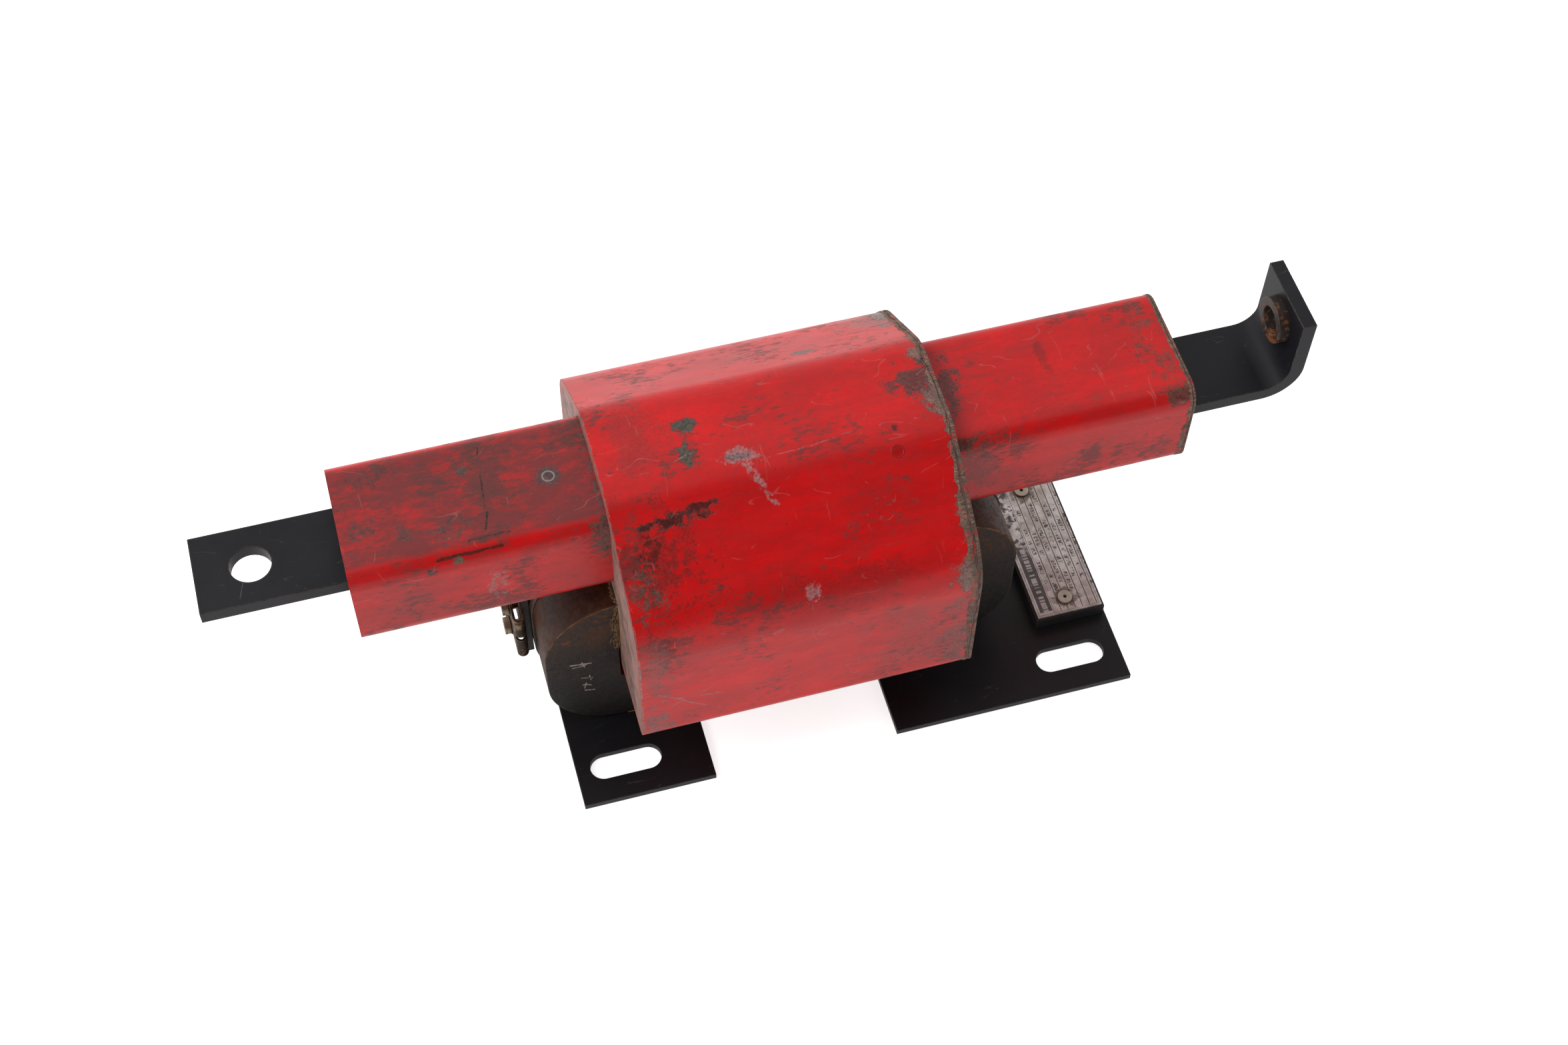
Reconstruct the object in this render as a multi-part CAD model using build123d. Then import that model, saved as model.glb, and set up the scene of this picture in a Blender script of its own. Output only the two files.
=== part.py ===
from build123d import *
import os

# Wound-type current transformer, indoor, dry.  Millimetres, +Z up.
# Origin: centre of the foot-slot pattern, on the underside of the base plates.
# X runs along the primary bars, Y across them, -Y is the nameplate reader's side.

# ---- mounting feet ----
slot_pitch_x = 214.3  # slot centre to slot centre along the bars
slot_pitch_y = 117.5  # slot centre to slot centre across the bars
slot_width = 12.7
slot_length = 33.0  # end to end
plate_thickness = 3.2
plate_depth = 152.4
plate_left_width = 61.0
plate_right_width = 114.3
plate_gap = 86.0  # between the inner edges of the two plates
slot_left_to_coil = 81.0  # left slot centre to the middle of the coil

# ---- wound core, a rounded rectangle loop that stands on its long leg ----
core_build = 33.0  # leg thickness
core_strip_width = 68.5  # size across the bars
core_inner_radius = 2.0
core_leg_gap = 1.0  # core leg to coil housing, each end
window_below_housing = 9.0  # open window under the housing
band_thickness = 0.8
band_width = 19.0
band_clearance = 0.5  # over the band, inside the barrier tube
pad_side_gap = 0.5  # band edge to core pad
seal_length = 24.0
seal_wall = 1.2

# ---- coil, worked outwards from the core's top leg ----
barrier_wall = 2.5
barrier_clearance = 0.6  # core leg to barrier tube
secondary_build = 4.0
winding_barrier_wall = 1.5
primary_build = 4.0
primary_margin = 16.0  # primary coil shorter than the housing, each end
winding_barrier_margin = 7.0
secondary_margin = 13.0
coil_corner_radius = 5.0
lead_width = 19.0
lead_thickness = 3.2
lead_inset = 10.0  # lead centre inside the primary coil's end

# ---- coil housing, an eight-sided moulded shell ----
housing_length = 150.0
housing_depth = 148.0
housing_wall = 4.0
housing_floor_clearance = 0.8  # primary coil to the shell's floor
housing_shoulder_drop = 36.0  # from the flat top down to the sharp corner of side and shoulder
housing_flat_top = 44.5
shoulder_radius = 30.0
top_bend_radius = 22.0
bottom_radius = 7.0
end_wall_thickness = 4.0

# ---- insulating arms around the primary bars ----
arm_reach = 108.0  # beyond the housing's end face
arm_width = 62.0
arm_height = 49.0
arm_wall = 3.5
arm_corner_radius = 9.0
arm_above_barrier = 4.3  # arm's underside above the barrier tube
arm_top_below_housing = 7.0
compound_recess = 2.0

# ---- primary bars ----
bar_width = 38.1
bar_thickness = 6.35
bar_top_below_arm = 17.5  # left bar
bar_right_drop = 8.5  # the right bar lies this much lower than the left one
bar_inner_gap = 40.0  # between the two bars' hidden ends
bar_left_reach = 61.0  # beyond the left arm's end
bar_right_reach = 57.0  # beyond the right arm's end, to the upstand's outer face
bar_bend_radius = 10.5  # inside of the bend
left_hole_diameter = 17.5
left_hole_inset = 23.5
bush_bore = 13.0
bush_shank_diameter = 17.5
bush_collar_diameter = 21.0
bush_collar_height = 4.8
collar_top_margin = 5.0  # collar to the upstand's top edge
collar_bend_margin = 3.4  # collar to the start of the bend

# ---- nameplate on its pad ----
pad_width = 33.8
pad_depth = 81.0
pad_height = 6.4
pad_edge_inset = 1.0  # from the right plate's outer edge
nameplate_width = 31.75
nameplate_depth = 79.4
nameplate_thickness = 0.8
rivet_pitch = 63.5
rivet_shank_diameter = 3.2
rivet_head_diameter = 6.8
rivet_head_height = 1.0
rivet_bore = 1.8
rivet_tail_gap = 1.0  # rivet tail above the plate

# ---- secondary terminals at the left end ----
board_thickness = 3.0
board_height = 44.0
board_front = 5.0  # board reaches this far in front of the middle plane
board_back = 29.0
clip_strip = 1.2
clip_width = 13.0
clip_jaw = 2.8  # gap between the clip's arms
clip_nose_front = 12.0  # front of the fold, in front of the middle plane
clip_arm_back = 8.0
clip_tip_length = 6.0
clip_tip_flare = 2.4
clip_pitch = 16.0
screw_diameter = 4.0
screw_clearance = 0.3  # radial, in the clip and washer
thread_clearance = 0.05  # radial, running fit in the nut
screw_behind_middle = 2.0
screw_head_diameter = 8.0
screw_head_height = 2.6
screw_slot_width = 1.1
screw_slot_depth = 1.2
washer_diameter = 8.8
washer_thickness = 0.8
nut_side = 7.0
nut_thickness = 2.0
nut_pocket_clearance = 0.1
lead_wire_diameter = 2.4
lead_wire_bend = 9.0
lead_wire_pitch = 7.0
lead_wire_below_arm = 1.6
lead_wire_inside = 3.5  # wire starts this far inside the housing's end face
lead_wire_bore_clearance = 0.1

# ---- how near counts as the same place when corners are picked ----
corner_reach = 1.0
corner_match = 0.01

# ---- places that follow from the sizes above ----
coil_x = slot_left_to_coil - slot_pitch_x / 2
housing_half = housing_length / 2
core_half_length = housing_half + core_leg_gap + core_build
core_outer_radius = core_inner_radius + core_build
core_bottom = plate_thickness + band_thickness
housing_bottom = core_bottom + core_build + window_below_housing
coil_bottom = housing_bottom + housing_wall + housing_floor_clearance
barrier_bottom = coil_bottom + primary_build + winding_barrier_wall + secondary_build
top_leg_bottom = barrier_bottom + barrier_wall + barrier_clearance
core_top = top_leg_bottom + core_build
barrier_top = core_top + band_thickness + band_clearance + barrier_wall
barrier_half_depth = core_strip_width / 2 + barrier_clearance + barrier_wall
arm_bottom = barrier_top + arm_above_barrier
arm_top = arm_bottom + arm_height
arm_middle = arm_top - arm_height / 2
housing_top = arm_top + arm_top_below_housing
arm_end = housing_half + arm_reach
wall_inner = housing_half - end_wall_thickness
bar_tops = {-1: arm_top - bar_top_below_arm, 1: arm_top - bar_top_below_arm - bar_right_drop}
band_outer_x = core_half_length + band_thickness
upstand_top = bar_tops[1] + bar_bend_radius + collar_bend_margin + bush_collar_diameter + collar_top_margin
bush_height = upstand_top - collar_top_margin - bush_collar_diameter / 2
board_face = band_outer_x + board_thickness  # distance left of the coil's middle
terminal_middle = (core_bottom + core_top) / 2


def block(x0, x1, y0, y1, z0, z1):
    """A box between two corners; X is measured from the coil's middle."""
    solid = Box(x1 - x0, y1 - y0, z1 - z0)
    return Pos(coil_x + (x0 + x1) / 2, (y0 + y1) / 2, (z0 + z1) / 2) * solid


def along_x(sketch, x0, x1):
    """Carry a sketch of (Y, Z) along X from x0 to x1, from the coil's middle."""
    plane = Plane(origin=(coil_x + x0, 0, 0), x_dir=(0, 1, 0), z_dir=(1, 0, 0))
    return extrude(plane * sketch, x1 - x0)


def along_y(sketch, half_depth):
    """Carry a sketch of (X, Z) across the bars, the same way front and back."""
    plane = Plane(origin=(coil_x, 0, 0), x_dir=(1, 0, 0), z_dir=(0, -1, 0))
    return extrude(plane * sketch, half_depth, both=True)


def rod_x(radius, x0, x1, y, z):
    """A round bar along X between x0 and x1, from the coil's middle."""
    return along_x(Pos(y, z) * Circle(radius), x0, x1)


def rounded_frame(half_width, z0, z1, radius):
    """A rounded rectangle centred on the middle plane, from z0 up to z1."""
    return Pos(0, (z0 + z1) / 2) * RectangleRounded(2 * half_width, z1 - z0, radius)


# ---- feet ----
def base_plate(inner_x, outer_x, slot_x):
    """Flat plate with one slot near each end."""
    low_x, high_x = sorted((inner_x, outer_x))
    plate = block(low_x, high_x, -plate_depth / 2, plate_depth / 2, 0, plate_thickness)
    slot = extrude(SlotOverall(slot_length, slot_width), plate_thickness)
    for side in (-1, 1):
        plate -= Pos(slot_x, side * slot_pitch_y / 2, 0) * slot
    return plate


# ---- core ----
def core_loop(grow, half_depth):
    """The core's outer outline, grown by a skin, as a solid block."""
    height = core_top - core_bottom + 2 * grow
    middle = (core_top + core_bottom) / 2
    outline = RectangleRounded(2 * (core_half_length + grow), height, core_outer_radius + grow)
    return along_y(Pos(0, middle) * outline, half_depth)


def core_halves():
    """Two C-shaped halves that meet in the middle of the long legs."""
    half_depth = core_strip_width / 2
    window_half = core_half_length - core_build
    window_height = core_top - core_bottom - 2 * core_build
    middle = (core_top + core_bottom) / 2
    window = Pos(0, middle) * RectangleRounded(2 * window_half, window_height, core_inner_radius)
    loop = core_loop(0, half_depth) - along_y(window, half_depth)
    left = loop & block(-core_half_length, 0, -half_depth, half_depth, core_bottom, core_top)
    right = loop & block(0, core_half_length, -half_depth, half_depth, core_bottom, core_top)
    return left, right


def core_band():
    """Thin steel band that ties the halves, round the core's outer edge."""
    half_width = band_width / 2
    return core_loop(band_thickness, half_width) - core_loop(0, half_width)


def band_seal():
    """Folded seal on the band, under the core between the base plates."""
    low = plate_thickness - seal_wall
    inside = band_width / 2
    outside = inside + seal_wall
    half = seal_length / 2
    channel = block(-half, half, -outside, outside, low, core_bottom)
    return channel - block(-half, half, -inside, inside, plate_thickness, core_bottom)


def core_pads(side):
    """Pressboard pads between the core's flat underside and one base plate."""
    inner = plate_gap / 2
    outer = core_half_length - core_outer_radius
    near = band_width / 2 + pad_side_gap
    far = core_strip_width / 2
    low_x, high_x = sorted((side * inner, side * outer))
    pads = [
        block(low_x, high_x, near, far, plate_thickness, core_bottom),
        block(low_x, high_x, -far, -near, plate_thickness, core_bottom),
    ]
    return Compound(children=pads)


# ---- coil ----
def coil_shell(skip, build, length):
    """A tube round the barrier: skip is the thickness already wound, build its own."""
    inner = rounded_frame(
        barrier_half_depth + skip, barrier_bottom - skip, barrier_top + skip, coil_corner_radius + skip
    )
    grown = skip + build
    outer = rounded_frame(
        barrier_half_depth + grown, barrier_bottom - grown, barrier_top + grown, coil_corner_radius + grown
    )
    return along_x(outer - inner, -length / 2, length / 2)


def coil_block(grown, length):
    """The same tube's outer shape with no hole."""
    outer = rounded_frame(
        barrier_half_depth + grown, barrier_bottom - grown, barrier_top + grown, coil_corner_radius + grown
    )
    return along_x(outer, -length / 2, length / 2)


def core_barrier_tube():
    """Insulating tube that the core's top leg and its band pass through."""
    hole = block(
        -housing_half,
        housing_half,
        -barrier_half_depth + barrier_wall,
        barrier_half_depth - barrier_wall,
        barrier_bottom + barrier_wall,
        barrier_top - barrier_wall,
    )
    return coil_block(0, housing_length) - hole


secondary_length = housing_length - 2 * secondary_margin
winding_barrier_length = housing_length - 2 * winding_barrier_margin
primary_length = housing_length - 2 * primary_margin
primary_top = barrier_top + secondary_build + winding_barrier_wall + primary_build
lead_x = primary_length / 2 - lead_inset


def primary_lead(side):
    """Copper strap from the primary coil up to its bar."""
    middle = side * lead_x
    half = lead_thickness / 2
    bar_bottom = bar_tops[side] - bar_thickness
    return block(middle - half, middle + half, -lead_width / 2, lead_width / 2, primary_top, bar_bottom)


# ---- housing ----
def housing_outline(inset):
    """Eight-sided outline of (Y, Z), moved inwards by inset."""
    half = housing_depth / 2
    flat = housing_flat_top / 2
    side_top = housing_top - housing_shoulder_drop
    points = [
        (-half, housing_bottom),
        (half, housing_bottom),
        (half, side_top),
        (flat, housing_top),
        (-flat, housing_top),
        (-half, side_top),
    ]
    outline = make_face(Polyline(*points, close=True))
    corners = outline.vertices()
    low = corners.filter_by(lambda v: v.Y < housing_bottom + corner_reach)
    shoulders = corners.filter_by(lambda v: abs(v.Y - side_top) < corner_reach)
    top = corners.filter_by(lambda v: v.Y > housing_top - corner_reach)
    outline = fillet(low, bottom_radius)
    outline = fillet(near_corners(outline, shoulders), shoulder_radius)
    outline = fillet(near_corners(outline, top), top_bend_radius)
    if inset > 0:
        outline = offset(outline, -inset)
    return outline


def near_corners(outline, targets):
    """The outline's corners that stand at the same places as the targets."""
    places = [target.center() for target in targets]
    return outline.vertices().filter_by(
        lambda v: any((v.center() - place).length < corner_match for place in places)
    )


def arm_outline(inset):
    """Rounded rectangle of (Y, Z) for an arm, moved inwards by inset."""
    shape = RectangleRounded(arm_width - 2 * inset, arm_height - 2 * inset, arm_corner_radius - inset)
    return Pos(0, arm_middle) * shape


def housing_shell():
    """Open-ended outer shell of the coil housing."""
    return along_x(housing_outline(0) - housing_outline(housing_wall), -housing_half, housing_half)


def end_wall(side):
    """Wall that closes one end, with openings for the core and the arm."""
    low, high = sorted((side * wall_inner, side * housing_half))
    wall = along_x(housing_outline(housing_wall), low, high)
    wall -= coil_block(0, housing_length)
    wall -= along_x(arm_outline(0), low, high)
    if side < 0:
        for wire in lead_wires():
            wall -= wire_tunnel(wire)
    return wall


def arm_tube(side):
    """Insulating tube round one primary bar, from the end wall outwards."""
    low, high = sorted((side * wall_inner, side * arm_end))
    return along_x(arm_outline(0) - arm_outline(arm_wall), low, high)


def arm_compound(side):
    """Compound that fills the arm round its bar."""
    low, high = sorted((side * wall_inner, side * (arm_end - compound_recess)))
    filling = along_x(arm_outline(arm_wall), low, high)
    return filling - bar_run(side, low, high)


def coil_compound():
    """Compound that fills the housing round the coil, the leads and the bars."""
    filling = along_x(housing_outline(housing_wall), -wall_inner, wall_inner)
    skip = secondary_build
    filling -= coil_block(0, housing_length)
    filling -= coil_block(skip, secondary_length)
    filling -= coil_block(skip + winding_barrier_wall, winding_barrier_length)
    filling -= coil_block(skip + winding_barrier_wall + primary_build, primary_length)
    filling -= primary_lead(-1)
    filling -= primary_lead(1)
    filling -= bar_run(-1, -wall_inner, -bar_inner_gap / 2)
    filling -= bar_run(1, bar_inner_gap / 2, wall_inner)
    for wire in lead_wires():
        filling -= wire_tunnel(wire)
    return filling


# ---- primary bars ----
def bar_run(side, x0, x1):
    """A straight stretch of the left (-1) or right (1) primary bar."""
    return block(x0, x1, -bar_width / 2, bar_width / 2, bar_tops[side] - bar_thickness, bar_tops[side])


def primary_bar_left():
    """Flat bar with a plain hole near its outer end."""
    outer = -arm_end - bar_left_reach
    bar = bar_run(-1, outer, -bar_inner_gap / 2)
    hole = Cylinder(left_hole_diameter / 2, bar_thickness)
    return bar - Pos(coil_x + outer + left_hole_inset, 0, bar_tops[-1] - bar_thickness / 2) * hole


def primary_bar_right():
    """Bar that is bent up at its outer end, with a hole for the bush."""
    inner = bar_inner_gap / 2
    outer = arm_end + bar_right_reach
    bar_top = bar_tops[1]
    bar_bottom = bar_top - bar_thickness
    profile = Polyline(
        (inner, bar_bottom),
        (outer, bar_bottom),
        (outer, upstand_top),
        (outer - bar_thickness, upstand_top),
        (outer - bar_thickness, bar_top),
        (inner, bar_top),
        close=True,
    )
    face = make_face(profile)
    heel = face.vertices().filter_by(
        lambda v: v.X > outer - corner_reach and v.Y < bar_bottom + corner_reach
    )
    face = fillet(heel, bar_bend_radius + bar_thickness)
    crook_x = outer - bar_thickness
    crook = face.vertices().filter_by(
        lambda v: abs(v.X - crook_x) < corner_reach and v.Y < bar_top + corner_reach
    )
    face = fillet(crook, bar_bend_radius)
    bar = along_y(face, bar_width / 2)
    return bar - rod_x(bush_shank_diameter / 2, outer - bar_thickness, outer, 0, bush_height)


def terminal_bush():
    """Collared bush pressed into the upstand, collar towards the coil."""
    outer = arm_end + bar_right_reach
    inner = outer - bar_thickness
    bush = rod_x(bush_shank_diameter / 2, inner, outer, 0, bush_height)
    bush += rod_x(bush_collar_diameter / 2, inner - bush_collar_height, inner, 0, bush_height)
    return bush - rod_x(bush_bore / 2, inner - bush_collar_height, outer, 0, bush_height)


# ---- nameplate ----
pad_right = plate_gap / 2 + plate_right_width - pad_edge_inset
pad_middle = pad_right - pad_width / 2
pad_top = plate_thickness + pad_height


def rivet_places():
    """Centres of the two nameplate rivets."""
    return [(coil_x + pad_middle, side * rivet_pitch / 2) for side in (-1, 1)]


def pierced(solid, low, high):
    """Take both rivets' holes out of a solid between two heights."""
    for x, y in rivet_places():
        solid -= Pos(x, y, (low + high) / 2) * Cylinder(rivet_shank_diameter / 2, high - low)
    return solid


def nameplate_pad():
    """Block that raises the nameplate off the right base plate."""
    half = pad_depth / 2
    pad = block(pad_right - pad_width, pad_right, -half, half, plate_thickness, pad_top)
    return pierced(pad, plate_thickness + rivet_tail_gap, pad_top)


def nameplate():
    """Thin blank plate."""
    half_x = nameplate_width / 2
    half_y = nameplate_depth / 2
    high = pad_top + nameplate_thickness
    plate = block(pad_middle - half_x, pad_middle + half_x, -half_y, half_y, pad_top, high)
    return pierced(plate, pad_top, high)


def nameplate_rivets():
    """Two hollow rivets through the nameplate into its pad."""
    low = plate_thickness + rivet_tail_gap
    seat = pad_top + nameplate_thickness
    high = seat + rivet_head_height
    rivets = []
    for x, y in rivet_places():
        shank = Pos(x, y, (low + seat) / 2) * Cylinder(rivet_shank_diameter / 2, seat - low)
        head = Pos(x, y, (seat + high) / 2) * Cylinder(rivet_head_diameter / 2, rivet_head_height)
        bore = Pos(x, y, (low + high) / 2) * Cylinder(rivet_bore / 2, high - low)
        rivets.append(shank + head - bore)
    return Compound(children=rivets)


# ---- secondary terminals ----
clip_outer_face = board_face + 2 * clip_strip + clip_jaw
nut_back = board_face - nut_thickness
terminal_heights = {"upper": terminal_middle + clip_pitch / 2, "lower": terminal_middle - clip_pitch / 2}


def terminal_board():
    """Insulating board on the band, with a pocket for each terminal nut."""
    half = board_height / 2
    board = block(
        -board_face, -band_outer_x, -board_front, board_back, terminal_middle - half, terminal_middle + half
    )
    side = nut_side / 2 + nut_pocket_clearance
    for height in terminal_heights.values():
        board -= block(
            -board_face,
            -nut_back,
            screw_behind_middle - side,
            screw_behind_middle + side,
            height - side,
            height + side,
        )
    return board


def terminal_clip(height):
    """Hairpin of folded strip: fold at the front, flared tip at the back."""
    nose_outer = clip_strip + clip_jaw / 2
    nose_y = nose_outer - clip_nose_front
    middle_x = -board_face - nose_outer
    inner_arm = Polyline(
        (-board_face, nose_y),
        (-board_face, clip_arm_back + clip_tip_length),
        (-board_face - clip_strip, clip_arm_back + clip_tip_length),
        (-board_face - clip_strip, nose_y),
        close=True,
    )
    outer_arm = Polyline(
        (-clip_outer_face + clip_strip, nose_y),
        (-clip_outer_face + clip_strip, clip_arm_back),
        (-clip_outer_face + clip_strip - clip_tip_flare, clip_arm_back + clip_tip_length),
        (-clip_outer_face - clip_tip_flare, clip_arm_back + clip_tip_length),
        (-clip_outer_face, clip_arm_back),
        (-clip_outer_face, nose_y),
        close=True,
    )
    ring = Pos(middle_x, nose_y) * (Circle(nose_outer) - Circle(clip_jaw / 2))
    front_half = Pos(middle_x, nose_y - nose_outer / 2) * Rectangle(2 * nose_outer, nose_outer)
    strip = make_face(inner_arm) + make_face(outer_arm) + (ring & front_half)
    clip = Pos(coil_x, 0, height - clip_width / 2) * extrude(strip, clip_width)
    hole = rod_x(
        screw_diameter / 2 + screw_clearance, -clip_outer_face, -board_face, screw_behind_middle, height
    )
    return clip - hole


def terminal_screw(height):
    """Slotted cheese-head screw that closes one clip on its wire."""
    seat = -clip_outer_face - washer_thickness
    head_end = seat - screw_head_height
    tail = -nut_back
    screw = rod_x(screw_diameter / 2, seat, tail, screw_behind_middle, height)
    screw += rod_x(screw_head_diameter / 2, head_end, seat, screw_behind_middle, height)
    half = screw_slot_width / 2
    reach = screw_head_diameter / 2
    return screw - block(
        head_end,
        head_end + screw_slot_depth,
        screw_behind_middle - reach,
        screw_behind_middle + reach,
        height - half,
        height + half,
    )


def terminal_washers():
    """Plain washers under the two screw heads."""
    washers = []
    for height in terminal_heights.values():
        seat = -clip_outer_face - washer_thickness
        disc = rod_x(washer_diameter / 2, seat, -clip_outer_face, screw_behind_middle, height)
        hole_radius = screw_diameter / 2 + screw_clearance
        washers.append(disc - rod_x(hole_radius, seat, -clip_outer_face, screw_behind_middle, height))
    return Compound(children=washers)


def terminal_nuts():
    """Square nuts held in the board's pockets."""
    half = nut_side / 2
    nuts = []
    for height in terminal_heights.values():
        nut = block(
            -board_face,
            -nut_back,
            screw_behind_middle - half,
            screw_behind_middle + half,
            height - half,
            height + half,
        )
        bore_radius = screw_diameter / 2 + thread_clearance
        nuts.append(nut - rod_x(bore_radius, -board_face, -nut_back, screw_behind_middle, height))
    return Compound(children=nuts)


def lead_wires():
    """Routes of the two secondary leads, from the coil to behind each clip's arm."""
    routes = []
    radius = lead_wire_diameter / 2
    high = arm_bottom - lead_wire_below_arm - radius
    start = coil_x - housing_half + lead_wire_inside
    down_x = coil_x - board_face - radius
    for index, name in enumerate(("upper", "lower")):
        y = clip_arm_back + clip_tip_length + radius + index * lead_wire_pitch
        end = terminal_heights[name]
        routes.append([(start, y, high), (down_x, y, high), (down_x, y, end)])
    return routes


def wire_tunnel(route):
    """Straight hole for a lead through the end wall into the compound."""
    start_x, y, z = route[0]
    radius = lead_wire_diameter / 2 + lead_wire_bore_clearance
    return rod_x(radius, -housing_half, start_x - coil_x, y, z)


def secondary_lead(route):
    """Insulated wire along its route, with one rounded corner."""
    path = FilletPolyline(*route, radius=lead_wire_bend)
    start = Plane(origin=path @ 0, z_dir=path % 0)
    return sweep(start * Circle(lead_wire_diameter / 2), path=path)


# ---- write the nodes ----
def all_nodes():
    """Every node by name."""
    slot_left = -slot_pitch_x / 2
    inner = plate_gap / 2
    core_left, core_right = core_halves()
    wire_upper, wire_lower = lead_wires()
    skip = secondary_build + winding_barrier_wall
    return {
        "base_plate_left": base_plate(-inner, -inner - plate_left_width, slot_left),
        "base_plate_right": base_plate(inner, inner + plate_right_width, -slot_left),
        "core_half_left": core_left,
        "core_half_right": core_right,
        "core_band": core_band(),
        "band_seal": band_seal(),
        "core_pads_left": core_pads(-1),
        "core_pads_right": core_pads(1),
        "core_barrier_tube": core_barrier_tube(),
        "secondary_coil": coil_shell(0, secondary_build, secondary_length),
        "winding_barrier": coil_shell(secondary_build, winding_barrier_wall, winding_barrier_length),
        "primary_coil": coil_shell(skip, primary_build, primary_length),
        "primary_lead_left": primary_lead(-1),
        "primary_lead_right": primary_lead(1),
        "coil_compound": coil_compound(),
        "housing_shell": housing_shell(),
        "end_wall_left": end_wall(-1),
        "end_wall_right": end_wall(1),
        "arm_tube_left": arm_tube(-1),
        "arm_tube_right": arm_tube(1),
        "arm_compound_left": arm_compound(-1),
        "arm_compound_right": arm_compound(1),
        "primary_bar_left": primary_bar_left(),
        "primary_bar_right": primary_bar_right(),
        "terminal_bush": terminal_bush(),
        "nameplate_pad": nameplate_pad(),
        "nameplate": nameplate(),
        "nameplate_rivets": nameplate_rivets(),
        "terminal_board": terminal_board(),
        "terminal_clip_upper": terminal_clip(terminal_heights["upper"]),
        "terminal_clip_lower": terminal_clip(terminal_heights["lower"]),
        "terminal_screw_upper": terminal_screw(terminal_heights["upper"]),
        "terminal_screw_lower": terminal_screw(terminal_heights["lower"]),
        "terminal_washers": terminal_washers(),
        "terminal_nuts": terminal_nuts(),
        "secondary_lead_upper": secondary_lead(wire_upper),
        "secondary_lead_lower": secondary_lead(wire_lower),
    }


os.makedirs("parts", exist_ok=True)
for node, shape in all_nodes().items():
    export_step(shape, f"parts/{node}.step")
    print(node)
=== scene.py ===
import math

import bpy
import numpy as np
from mathutils import Matrix, Vector


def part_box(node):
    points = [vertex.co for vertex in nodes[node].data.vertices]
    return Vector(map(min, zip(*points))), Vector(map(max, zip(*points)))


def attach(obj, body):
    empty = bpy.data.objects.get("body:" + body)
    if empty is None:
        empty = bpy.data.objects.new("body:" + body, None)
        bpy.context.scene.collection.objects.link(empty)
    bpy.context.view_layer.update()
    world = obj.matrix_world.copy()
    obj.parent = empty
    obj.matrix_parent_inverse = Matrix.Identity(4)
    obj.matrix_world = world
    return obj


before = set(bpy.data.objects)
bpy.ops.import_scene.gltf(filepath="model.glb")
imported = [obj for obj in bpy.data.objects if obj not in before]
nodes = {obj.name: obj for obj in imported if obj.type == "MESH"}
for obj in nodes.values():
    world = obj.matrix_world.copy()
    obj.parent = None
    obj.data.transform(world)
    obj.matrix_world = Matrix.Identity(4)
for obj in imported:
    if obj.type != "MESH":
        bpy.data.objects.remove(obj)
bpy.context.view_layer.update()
print("frame loaded:", len(nodes), "nodes")


cameraView = {
    "azimuth": -17.007,  # degrees, 0 looks along +Y
    "elevation": 55.84,
    "roll": 1.573,
    "distance": 1.09487,
    "target": (-0.011438, 0.01847, 0.05),
    "lens": 54.313,
}


def placeCamera(values):
    azimuth, elevation, roll = (math.radians(values[key]) for key in ("azimuth", "elevation", "roll"))
    back = Vector(
        (
            math.sin(azimuth) * math.cos(elevation),
            -math.cos(azimuth) * math.cos(elevation),
            math.sin(elevation),
        )
    )
    level = Vector((0, 0, 1)).cross(back).normalized()
    upright = back.cross(level)
    right = level * math.cos(roll) + upright * math.sin(roll)
    up = upright * math.cos(roll) - level * math.sin(roll)
    data = bpy.data.cameras.new("camera")
    data.lens = values["lens"]
    data.sensor_width = 36
    data.clip_start = 0.01
    camera = bpy.data.objects.new("camera", data)
    bpy.context.scene.collection.objects.link(camera)
    turn = Matrix((right, up, back)).transposed().to_4x4()
    camera.matrix_world = Matrix.Translation(Vector(values["target"]) + back * values["distance"]) @ turn
    bpy.context.scene.camera = camera


studio = {
    "sky": 0.90,
    "dim": 0.02,  # strength straight behind the camera, where the studio is dark
    "dimTowards": (0.16, -0.80, 0.58),
    "dimStart": 0.66,  # cosine of the angle at which the dimming begins
    "dimFull": 0.93,
    "softboxPower": 11.0,
    "softboxSize": 0.9,
    "softboxPlace": (-1.15, 0.15, 1.15),
    "floorColour": (0.93, 0.93, 0.93, 1),
    "floorGlow": 0.30,  # the sweep is lit from below as well
    "floorSeen": 0.75,  # the same, where it is seen directly
    "floorSize": 8.0,
}


def setInput(tree, socket, value):
    if isinstance(value, bpy.types.NodeSocket):
        tree.links.new(value, socket)
    else:
        socket.default_value = value


def addNode(tree, kind, inputs=None, settings=None):
    node = tree.nodes.new(kind)
    for key, value in (settings or {}).items():
        setattr(node, key, value)
    for key, value in (inputs or {}).items():
        setInput(tree, node.inputs[key], value)
    return node


def calc(tree, operation, first, second=0.0, third=0.0, clamp=False):
    settings = {"operation": operation, "use_clamp": clamp}
    return addNode(tree, "ShaderNodeMath", {0: first, 1: second, 2: third}, settings).outputs[0]


def calcVector(tree, operation, first, second=(0, 0, 0)):
    node = addNode(tree, "ShaderNodeVectorMath", {0: first, 1: second}, {"operation": operation})
    return node.outputs["Value"] if operation in ("LENGTH", "DOT_PRODUCT") else node.outputs["Vector"]


def scaleVector(tree, vector, factor):
    settings = {"operation": "SCALE"}
    return addNode(tree, "ShaderNodeVectorMath", {0: vector, "Scale": factor}, settings).outputs["Vector"]


def softStep(tree, value, low, high):
    inputs = {"Value": value, "From Min": low, "From Max": high}
    return addNode(tree, "ShaderNodeMapRange", inputs, {"interpolation_type": "SMOOTHSTEP"}).outputs[0]


def blend(tree, factor, first, second):
    settings = {"data_type": "RGBA", "blend_type": "MIX"}
    return addNode(tree, "ShaderNodeMix", {0: factor, 6: first, 7: second}, settings).outputs[2]


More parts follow.
